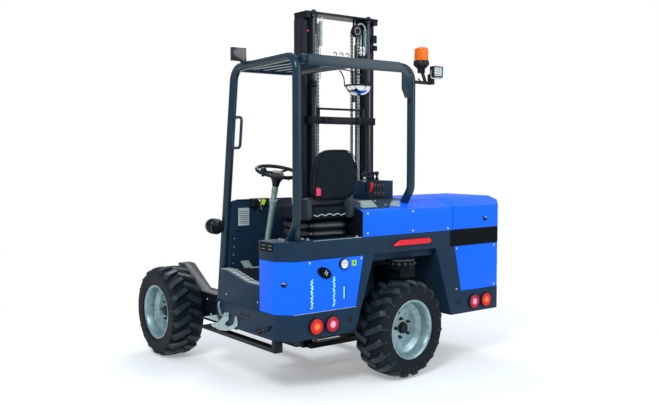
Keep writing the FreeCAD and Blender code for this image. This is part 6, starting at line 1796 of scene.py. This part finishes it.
# ---------------------------------------------------------------- fittings along the side
@dataclass
class SideFittings:
    """Mounting hook with its chain, latch lever, belt socket plate and sill slots."""

    side_y: float = 1.040
    wall: float = 0.009
    hook: tuple[tuple[float, float], ...] = (
        (0.824, 0.362), (0.812, 0.349), (0.703, 0.340), (0.597, 0.353), (0.516, 0.379), (0.466, 0.410),
        (0.462, 0.440),
        (0.478, 0.474), (0.490, 0.472), (0.496, 0.440), (0.520, 0.408), (0.579, 0.386), (0.631, 0.390),
        (0.619, 0.408),
        (0.578, 0.433), (0.584, 0.462), (0.572, 0.481), (0.606, 0.480), (0.636, 0.472), (0.660, 0.437),
        (0.714, 0.396),
        (0.774, 0.379))
    latch: tuple[tuple[float, float, float], ...] = (
        (0.226, 1.052, 0.414), (0.184, 1.054, 0.424), (0.140, 1.055, 0.440), (0.093, 1.054, 0.456),
        (0.060, 1.052, 0.470))

    def chain(self) -> Form:
        """Oval links, each turned a quarter from the last, hung from the sill to the hook."""
        line = curve([at(0.702, 1.049, 0.534), at(0.712, 1.050, 0.512), at(0.702, 1.050, 0.494),
                      at(0.690, 1.051, 0.470),
                      at(0.668, 1.051, 0.452), at(0.640, 1.052, 0.452)], 11)
        t = circle(28)
        link = tube(np.column_stack([0.0058 * np.cos(t), np.zeros(28), 0.0105 * np.sin(t)]), 0.0019, 8,
                    closed=True)
        way = np.gradient(line, axis=0)
        turns = [frame_along(step) @ rotation(Axis.Z, 90 * (number % 2)) for number, step in enumerate(way)]
        return link.repeated(turns, line)

    def build(self, bench: Bench) -> None:
        """All side fittings."""
        y = self.side_y
        plate = side_plate(self.hook, y + 0.0005, y + self.wall)
        nose = pin(at(0.606, y + 0.002, 0.464), at(0.606, y + 0.0165, 0.464), 0.010, 28)
        bench.piece("mounting_hook", plate, PEDAL, replaces=("sill_fittings",), bevel=0.002)
        bench.piece("mounting_hook_pin", nose, ZINC)
        bench.piece("hook_chain", self.chain(), PEDAL)
        lever = wire(self.latch, 0.0085, 40, 14)
        collar = pin(at(0.112, 1.0542, 0.4475), at(0.126, 1.0548, 0.4440), 0.0105, 20)
        grip = pin(at(0.075, 1.052, 0.465), at(0.060, 1.052, 0.4705), 0.0112, 20, 0.5)
        stand = (around(at(0.205, 1.045, 0.418), (0.044, 0.011, 0.024))
                 + around(at(0.100, 1.0445, 0.453), (0.030, 0.010, 0.020)))
        bench.piece("latch_lever", lever + grip + stand, BLACK_PAINT)
        bench.piece("latch_collar", collar, DARK_STEEL)
        socket = block((0.032, y, 0.946), (0.182, y + 0.002, 1.002))
        bench.piece("belt_socket_plate", socket, GLOSS_BLACK, bevel=0.0008)
        dot = lathe([(0, 0.0028), (0.0010, 0.0022), (0.0012, 0)], 12, Axis.Y)
        spots = [at(x, y + 0.002, z) for z in (0.963, 0.985)
                 for x in (0.052, 0.068, 0.084, 0.126, 0.142, 0.158)]
        bench.piece("belt_socket_pins", dot.arrayed(spots), PALE_PLATE)
        slots = (around(at(0.374, y + 0.0008, 0.498), (0.118, 0.0016, 0.012))
                 + around(at(0.412, y + 0.0008, 0.468), (0.050, 0.0016, 0.010)))
        bench.piece("sill_slots", slots, BLACK_RUBBER, bevel=0.0005)


# ---------------------------------------------------------------- driver's seat
@dataclass(frozen=True)
class Seam:
    """A sewn channel along a plane across an axis, by its place, depth and reach."""

    axis: Axis
    place: float
    depth: float
    reach: float = 0.005

    def drawn(self, points: np.ndarray) -> np.ndarray:
        """How far each point is drawn in: a bell curve of its distance from the plane."""
        return self.depth * np.exp(-(((points[:, self.axis.value] - self.place) / self.reach) ** 2))


@dataclass
class Padding:
    """Makes stuffed pieces: a closed form that is blown up a little as cloth, then sewn.

    Attributes:
        voxel: size of the even faces that the cloth starts from.
        pressure: pressure inside the cloth.
        frames: how long it is blown up.
        cap: how far a point may move.
    """

    voxel: float = 0.006
    pressure: float = 4.0
    frames: int = 20
    cap: float = 0.010

    def stuffed(self, bench: Bench, name: str, form: Form, finish: Finish, seams: Sequence[Seam],
                replaces: str) -> bpy.types.Object:
        """Makes one padded piece.

        Args:
            bench: where pieces are made.
            name: the piece's name.
            form: its shape before it swells.
            finish: its cover.
            seams: its sewn channels.
            replaces: the construction node that it stands for.

        Returns:
            The padded object.
        """
        piece = bench.piece(name, form, finish, replaces=(replaces,), subdivide=1)
        piece.modifiers.clear()
        remesh = piece.modifiers.new("Even", "REMESH")
        remesh.mode, remesh.voxel_size = "VOXEL", self.voxel
        remesh.use_smooth_shade = True
        even = bpy.data.meshes.new_from_object(piece.evaluated_get(bpy.context.evaluated_depsgraph_get()))
        piece.modifiers.clear()
        even.materials.clear()
        even.materials.append(finish.material())
        piece.data = even
        start = self.corners(even)
        self.sewn(even, self.blown(piece, start), seams)
        layer = piece.modifiers.new("Subdivide", "SUBSURF")
        layer.levels = layer.render_levels = 1
        return piece

    @staticmethod
    def corners(mesh: bpy.types.Mesh) -> np.ndarray:
        """All corner positions of a mesh."""
        flat = np.zeros(len(mesh.vertices) * 3, np.float32)
        mesh.vertices.foreach_get("co", flat)
        return flat.reshape(-1, 3).astype(float)

    def blown(self, piece: bpy.types.Object, start: np.ndarray) -> np.ndarray:
        """Corner positions after the cloth has swelled, none further from its start than the cap."""
        cloth = piece.modifiers.new("Cloth", "CLOTH")
        cloth.settings.use_pressure = True
        cloth.settings.uniform_pressure_force = self.pressure
        cloth.settings.quality = 5
        cloth.settings.effector_weights.gravity = 0.0
        scene = bpy.context.scene
        for number in range(1, self.frames + 1):
            scene.frame_set(number)
        done = piece.evaluated_get(bpy.context.evaluated_depsgraph_get()).to_mesh()
        swelled = self.corners(done)
        piece.modifiers.remove(cloth)
        scene.frame_set(1)
        way = swelled - start
        length = np.linalg.norm(way, axis=1, keepdims=True)
        return start + way * np.minimum(1.0, self.cap / np.maximum(length, 1e-9))

    @staticmethod
    def sewn(mesh: bpy.types.Mesh, points: np.ndarray, seams: Sequence[Seam]) -> None:
        """Writes the corners back, drawn in along their normals by the seams."""
        mesh.vertices.foreach_set("co", points.astype(np.float32).ravel())
        mesh.update()
        normals = np.zeros(len(points) * 3, np.float32)
        mesh.vertices.foreach_get("normal", normals)
        normals = normals.reshape(-1, 3)
        depth = sum((seam.drawn(points) for seam in seams), np.zeros(len(points)))
        mesh.vertices.foreach_set("co", (points - normals * depth[:, None]).astype(np.float32).ravel())
        mesh.update()


def power(value: np.ndarray, exponent: float) -> np.ndarray:
    """A power that keeps the sign."""
    return np.sign(value) * np.abs(value) ** exponent


def pillow(centre: Sequence[float], half: Sequence[float], square: float = 0.28, round_plan: float = 0.3,
           counts: tuple[int, int] = (48, 64)) -> Form:
    """A rounded block: x = a c(v) c(u), y = b c(v) s(u), z = h s(v), each sine raised to a small power.

    Args:
        centre: its middle.
        half: half its sizes.
        square: power up its sides; smaller is squarer.
        round_plan: power round its plan; smaller is squarer.
        counts: faces from bottom to top and round it.

    Returns:
        The closed surface.
    """
    rise = np.linspace(-math.pi / 2, math.pi / 2, counts[0])[:, None]
    turn = circle(counts[1])[None, :]
    points = np.stack([power(np.cos(rise), square) * power(np.cos(turn), round_plan),
                       power(np.cos(rise), square) * power(np.sin(turn), round_plan),
                       power(np.sin(rise), square) * np.ones_like(turn)], -1)
    return grid(points * np.asarray(half) + np.asarray(centre), closed_v=True)


@dataclass
class Seat:
    """Suspension seat: bellows, cushion with bolsters, back with piping, hip pads and blank tag."""

    middle_y: float = 0.594
    back_y: float = 0.536
    back_x: float = 0.040
    low: float = 1.010
    bellows_top: float = 1.120
    cushion_top: float = 1.240
    back_top: float = 1.602
    cushion_half: tuple[float, float] = (0.180, 0.190)
    back_half: float = 0.190
    lean: float = 0.040
    fold: float = 0.020
    squareness: float = 0.28
    padding: Padding = field(default_factory=Padding)

    def cushion(self) -> Form:
        """The cushion before it swells: a rounded block whose sides rise and whose front edge falls."""
        half_x, half_y = self.cushion_half
        middle = at(self.back_x + 0.188, self.middle_y, (self.bellows_top + self.cushion_top) / 2 - 0.004)
        form = pillow(middle, (half_x, half_y, 0.050), 0.3, 0.22)
        x, y, z = ((form.points - middle) / (half_x, half_y, 0.050)).T
        up = np.clip(z, 0, 1)
        form.points[:, 2] += up * (0.008 * np.abs(y) ** 4 - 0.024 * np.clip(x, 0, 1) ** 2
                                   - 0.008 * (1 - x * x) * (1 - y * y))
        return form

    def back_plan(self, t: np.ndarray, grow: float) -> tuple[np.ndarray, np.ndarray]:
        """Outline of the back seen from behind, at angles t: a squarish oval, narrower at the top and foot.

        Args:
            t: angles round the outline.
            grow: its size against the full one.

        Returns:
            Distances across and up, from its middle.
        """
        across, up = power(np.cos(t), 0.45), power(np.sin(t), 0.45)
        width = self.back_half * (1 - 0.26 * np.clip(up, 0, 1) ** 1.6 - 0.05 * np.clip(-up, 0, 1) ** 2)
        return across * width * grow, up * (self.back_top - self.cushion_top) / 2 * 0.975 * grow

    def back_x_at(self, z: np.ndarray) -> np.ndarray:
        """The leaning back's middle plane at a height."""
        share = (z - self.cushion_top) / (self.back_top - self.cushion_top)
        return self.back_x + 0.041 - self.lean * 0.87 * share

    def back(self) -> Form:
        """The back before it swells: rings of its outline, from the rear face to the hollowed front."""
        t = circle(72)
        shells = ((0.05, -0.026), (0.5, -0.026), (0.80, -0.025), (0.93, -0.020), (0.985, -0.008), (1.0, 0.004),
                  (0.985, 0.020), (0.93, 0.032), (0.80, 0.034), (0.5, 0.024), (0.05, 0.020))
        middle = (self.cushion_top + self.back_top) / 2
        rows = []
        for grow, out in shells:
            across, up = self.back_plan(t, grow)
            z = middle + up
            rows.append(np.stack([self.back_x_at(z) + out + STEER_AXIS_X, self.back_y + across, z], -1))
        return grid(np.array(rows)[::-1], closed_v=True, caps=True)

    def piping(self, grow: float, out: float, radius: float) -> Form:
        """A thin welt that follows the back's outline on one of its faces."""
        t = circle(120)
        across, up = self.back_plan(t, grow)
        z = (self.cushion_top + self.back_top) / 2 + up
        path = np.stack([self.back_x_at(z) + out + STEER_AXIS_X, self.back_y + across, z], -1)
        return tube(path, radius, 8, closed=True)

    def bellows(self) -> Form:
        """Rubber folds round the suspension: rounded rectangles that swell with height as a sine."""
        t = circle(88)
        h = np.linspace(0, 1, 41)
        swell = np.abs(np.sin(h * math.pi * 2)) ** 0.7
        points = np.zeros((len(h), len(t), 3))
        points[..., 0] = (0.154 + self.fold * swell)[:, None] * power(np.cos(t), self.squareness)
        points[..., 1] = (0.146 + self.fold * swell)[:, None] * power(np.sin(t), self.squareness)
        points[..., 2] = (h * (self.bellows_top - self.low - 0.004))[:, None]
        points[..., 2] += 0.003 * swell[:, None] * np.sin(3 * t)
        centre = at(self.back_x + 0.160, self.middle_y, self.low + 0.001)
        return grid(points + centre, closed_v=True, caps=True)

    def hip_pad(self, side: int) -> Form:
        """A rounded pad beside the cushion's rear corner."""
        centre = at(self.back_x + 0.024, self.middle_y + side * 0.176, self.cushion_top - 0.036)
        return pillow(centre, (0.052, 0.025, 0.070), 0.45, 0.4, (20, 28))

    def build(self, bench: Bench) -> None:
        """All of the seat."""
        low_x = STEER_AXIS_X + self.back_x
        seams = (Seam(Axis.Y, self.middle_y - 0.118, 0.006), Seam(Axis.Y, self.middle_y + 0.118, 0.006),
                 Seam(Axis.X, low_x + 0.145, 0.004), Seam(Axis.X, low_x + 0.285, 0.004))
        self.padding.stuffed(bench, "seat_cushion_pad", self.cushion(), VINYL, seams, "seat_cushion")
        Padding(cap=0.006).stuffed(bench, "seat_back_pad", self.back(), VINYL, (), "seat_back")
        bench.piece("seat_back_piping", self.piping(0.955, -0.0235, 0.0032), PIPING)
        shroud = around(at(self.back_x + 0.062, self.middle_y, self.cushion_top + 0.010), (0.058, 0.300, 0.052))
        bench.piece("seat_hinge_shroud", shroud, BLACK_PLASTIC, bevel=0.014, segments=3)
        bench.piece("seat_bellows", self.bellows(), BELLOWS, replaces=("seat_base",))
        pads = self.hip_pad(1) + self.hip_pad(-1)
        bench.piece("seat_hip_pads", pads, PAD_VINYL)
        sway = np.linspace(-0.13, 0.13, 60)
        path = np.column_stack([np.full(60, STEER_AXIS_X + self.back_x - 0.0045), self.middle_y + sway,
                                1.166 + 0.005 * np.cos(sway * 95) - 0.03 * np.abs(sway)])
        bench.piece("seat_cushion_piping", tube(path, 0.0034, 8), THREAD)
        z = 1.318
        tag = around((STEER_AXIS_X + self.back_x_at(z) - 0.0322, self.back_y + 0.143, z),
                     (0.0016, 0.036, 0.052))
        bench.piece("seat_tag", tag, TAG_PINK, bevel=0.0005)


# ---------------------------------------------------------------- wheels
@dataclass
class Wheel:
    """One lugged tyre on its dished rim, built with its axle along Y and its open face towards +Y.

    Attributes:
        name: which wheel it is.
        body: the body that it turns with.
        turn: its turn about Z, in degrees.
    """

    name: str
    body: Body
    turn: float
    radius: float = 0.345
    half_width: float = 0.129
    bead_radius: float = 0.194
    bead_half: float = 0.1153
    crown_half: float = 0.100
    crown_radius: float = 0.318
    lugs: int = 20
    lug_half_wall: float = 0.019
    lug_skew: float = 27.0
    flange_radius: float = 0.208
    rim_wall: float = 0.0055
    disc_y: float = 0.0263
    bolt_circle: float = 0.068
    bolts: int = 5
    nut_start: float = 87.0
    valve_radius: float = 0.155
    facets: int = 96

    def placed(self, form: Form) -> Form:
        """The surface turned and put on the wheel's own axle, in the middle of its tyre's box."""
        low, high = (np.array(corner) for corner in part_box("tyre_" + self.name))
        centre = (low + high) / 2
        centre[2] = self.radius
        return form.turned(Axis.Z, self.turn).moved(centre)

    def carcass(self) -> Form:
        """The tyre under its lugs: a turned profile whose sidewalls bulge as a quarter wave."""
        t = np.linspace(0, 1, 15)
        side = np.column_stack([
            self.bead_half + (self.half_width - self.bead_half) * np.sin(t * math.pi * 0.62) ** 0.8,
            self.bead_radius + 0.014 + (self.crown_radius - 0.026 - self.bead_radius) * t,
        ])
        rim_guard = np.array([(self.bead_half - 0.010, self.bead_radius + 0.0006),
                              (self.bead_half, self.bead_radius + 0.004),
                              (self.bead_half + 0.005, self.bead_radius + 0.010)])
        ribs = side.copy()
        ribs[3:6, 0] += (0.0022, 0.0030, 0.0022)
        crown = np.array([(self.crown_half + 0.014, self.crown_radius - 0.007),
                          (self.crown_half, self.crown_radius)])
        middle = np.column_stack([np.linspace(self.crown_half * 0.8, 0, 5),
                                  self.crown_radius + 0.004 * np.linspace(0.3, 1, 5)])
        half = np.vstack([rim_guard, np.clip(ribs, None, (self.half_width - 0.0005, 9)), crown, middle])
        profile = np.vstack([half, (half * (-1, 1))[-2::-1]])
        return lathe(profile[::-1], self.facets, Axis.Y, closed=True)

    def lug(self) -> Form:
        """One bar: a grid over its length u and its girth v, bent down over the shoulder."""
        skew = math.radians(self.lug_skew)
        reach = self.half_width / math.cos(skew)
        u = np.array([-0.004, 0.012, 0.035, 0.06, 0.083, 0.100, 0.112, 0.121, 0.1265])
        u = u * (reach - self.lug_half_wall * math.tan(skew)) / u[-1]
        drop = np.array([0.0, 0.0, 0.0, 0.0, 0.0006, 0.0028, 0.007, 0.014, 0.026])
        widen = np.array([0.92, 0.97, 1.0, 1.0, 1.02, 1.06, 1.1, 1.12, 1.12])
        corner = np.abs(self.lug_half_wall * 1.12 * math.cos(skew) + np.abs(u) * math.sin(skew))
        top = np.sqrt(self.radius**2 - corner**2) - 0.0006 - drop
        foot = self.crown_radius - 0.016 - 1.2 * drop
        foot[-2:] -= (0.006, 0.008)
        across = np.array([-1.25, -1.0, -0.86, 0.86, 1.0, 1.25])
        share = np.array([0.0, 0.90, 1.0, 1.0, 0.90, 0.0])
        points = np.zeros((len(u), len(across), 3))
        points[..., 0] = across * self.lug_half_wall * widen[:, None]
        points[..., 1] = u[:, None]
        points[..., 2] = foot[:, None] + share * (top - foot)[:, None]
        return grid(points, closed_v=True, caps=True)

    def tread(self) -> Form:
        """All bars: each slanted from the middle to a shoulder, every other one on the other side."""
        pitch = 360 / self.lugs
        turns = [rotation(Axis.Y, number * pitch + shift) @ rotation(Axis.Z, slant)
                 for number in range(self.lugs)
                 for shift, slant in ((0, self.lug_skew), (pitch / 2, 180 - self.lug_skew))]
        return self.lug().repeated(turns)

    def rim(self) -> Form:
        """The rim and its dished disc: one turned profile with flanges, seats, well, cone and hub face."""
        edge, seat, disc, flange = self.bead_half, self.bead_radius - 0.0005, self.disc_y, self.flange_radius
        bore = seat - self.rim_wall
        outer = symmetric([
            (edge + 0.0058, flange - 0.002), (edge + 0.0045, flange), (edge + 0.0006, flange - 0.001),
            (edge, seat + 0.006), (edge - 0.004, seat), (edge - 0.030, seat - 0.0015),
            (edge - 0.042, seat - 0.009)])
        inner = [
            (-edge - 0.004, bore), (disc - 0.010, bore - 0.004), (disc - 0.010, 0.150), (disc - 0.006, 0.0),
            (disc + 0.0005, 0.0), (disc + 0.0005, 0.098), (disc - 0.001, 0.104), (disc - 0.001, 0.142),
            (disc + 0.006, 0.152), (disc + 0.022, bore - 0.010), (edge - 0.040, bore - 0.009),
            (edge - 0.028, bore - 0.003), (edge - 0.004, bore), (edge + 0.002, bore + 0.005),
            (edge + 0.0048, flange - 0.006)]
        profile = (outer + inner)[::-1]
        return lathe(profile, self.facets, Axis.Y, closed=True)

    def fittings(self) -> Form:
        """Wheel nuts with their studs, in a ring round the hub."""
        base = (0, self.disc_y, self.bolt_circle)
        nut = hexagon_head(base, (0, 1, 0), 0.020, 0.014)
        stud = pin((0, self.disc_y + 0.014, self.bolt_circle), (0, self.disc_y + 0.024, self.bolt_circle),
                   0.006, 12, 0.3)
        return ring_of(nut + stud, self.bolts, Axis.Y, self.nut_start)

    def hub(self) -> Form:
        """The hub's cap: a low turned cup with a rounded rim."""
        top = self.disc_y + 0.0235
        profile = [(self.disc_y, 0), (self.disc_y, 0.042), (self.disc_y + 0.004, 0.042),
                   (self.disc_y + 0.006, 0.037),
                   (top - 0.003, 0.036), (top, 0.032), (top - 0.004, 0.027), (top - 0.004, 0)]
        return lathe(profile, 40, Axis.Y)

    def valve(self) -> Form:
        """The valve's hand hole as a black lipped cup on the disc, its black painted shade, and the stem in it.
        """
        where = np.array([0, self.disc_y, 0]) + self.valve_radius * 0.80 * np.array(
            [math.cos(math.radians(-70)), 0, -math.sin(math.radians(-70))])
        # Painted shade: the cup's black stands for the dark inside of the hole.
        cup = lathe([(-0.0005, 0), (-0.0005, 0.0185), (0.0014, 0.0185), (0.0018, 0.0155), (0.0006, 0.0150),
                     (0.0006, 0)], 28, Axis.Y, where)
        return cup + pin(where, where + (0, 0.018, 0), 0.0042, 12, 0.4)

    def build(self, bench: Bench) -> None:
        """Tyre, rim, nuts, hub cap and valve."""
        # The carcass finish is painted shade between the lugs; the lug finish is a painted highlight.
        for part, form, finish, node in (
            ("carcass_", self.carcass(), TYRE_SHADED, "tyre_"),
            ("lugs_", self.tread(), LUG_HIGHLIT, ""),
            ("rim_", self.rim(), ZINC, "rim_"),
            ("wheel_nuts_", self.fittings(), DARK_STEEL, ""),
            ("hub_cap_", self.hub(), BLACK_PAINT, ""),
            ("valve_", self.valve(), BLACK_RUBBER, ""),
        ):
            bench.piece(part + self.name, self.placed(form), finish, self.body,
                        replaces=(node + self.name,) if node else ())


@dataclass
class Wheels:
    """The three wheels."""

    steer_turn: float = 95.5

    def build(self, bench: Bench) -> None:
        """Front pair and steered rear wheel."""
        Wheel("front_left", Body.FRONT_LEFT, 0.0).build(bench)
        Wheel("front_right", Body.FRONT_RIGHT, 180.0).build(bench)
        Wheel("rear", Body.REAR, self.steer_turn).build(bench)


ASSEMBLIES = (Bodywork, Wheels, Seat, Lamps, Fittings, SideFittings, Controls, Roof, Mast, Underbody)


def main() -> None:
    """Builds the stage and every sub-assembly, and notes how many pieces were made."""
    logging.basicConfig(level=logging.INFO, format="%(name)s: %(message)s")
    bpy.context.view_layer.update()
    Stage().build()
    bench = Bench()
    for assembly in ASSEMBLIES:
        assembly().build(bench)
        log.info("%s done", assembly.__name__)
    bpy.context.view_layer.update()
    log.info("%d pieces made", bench.made)


if __name__ == "__main__":
    main()
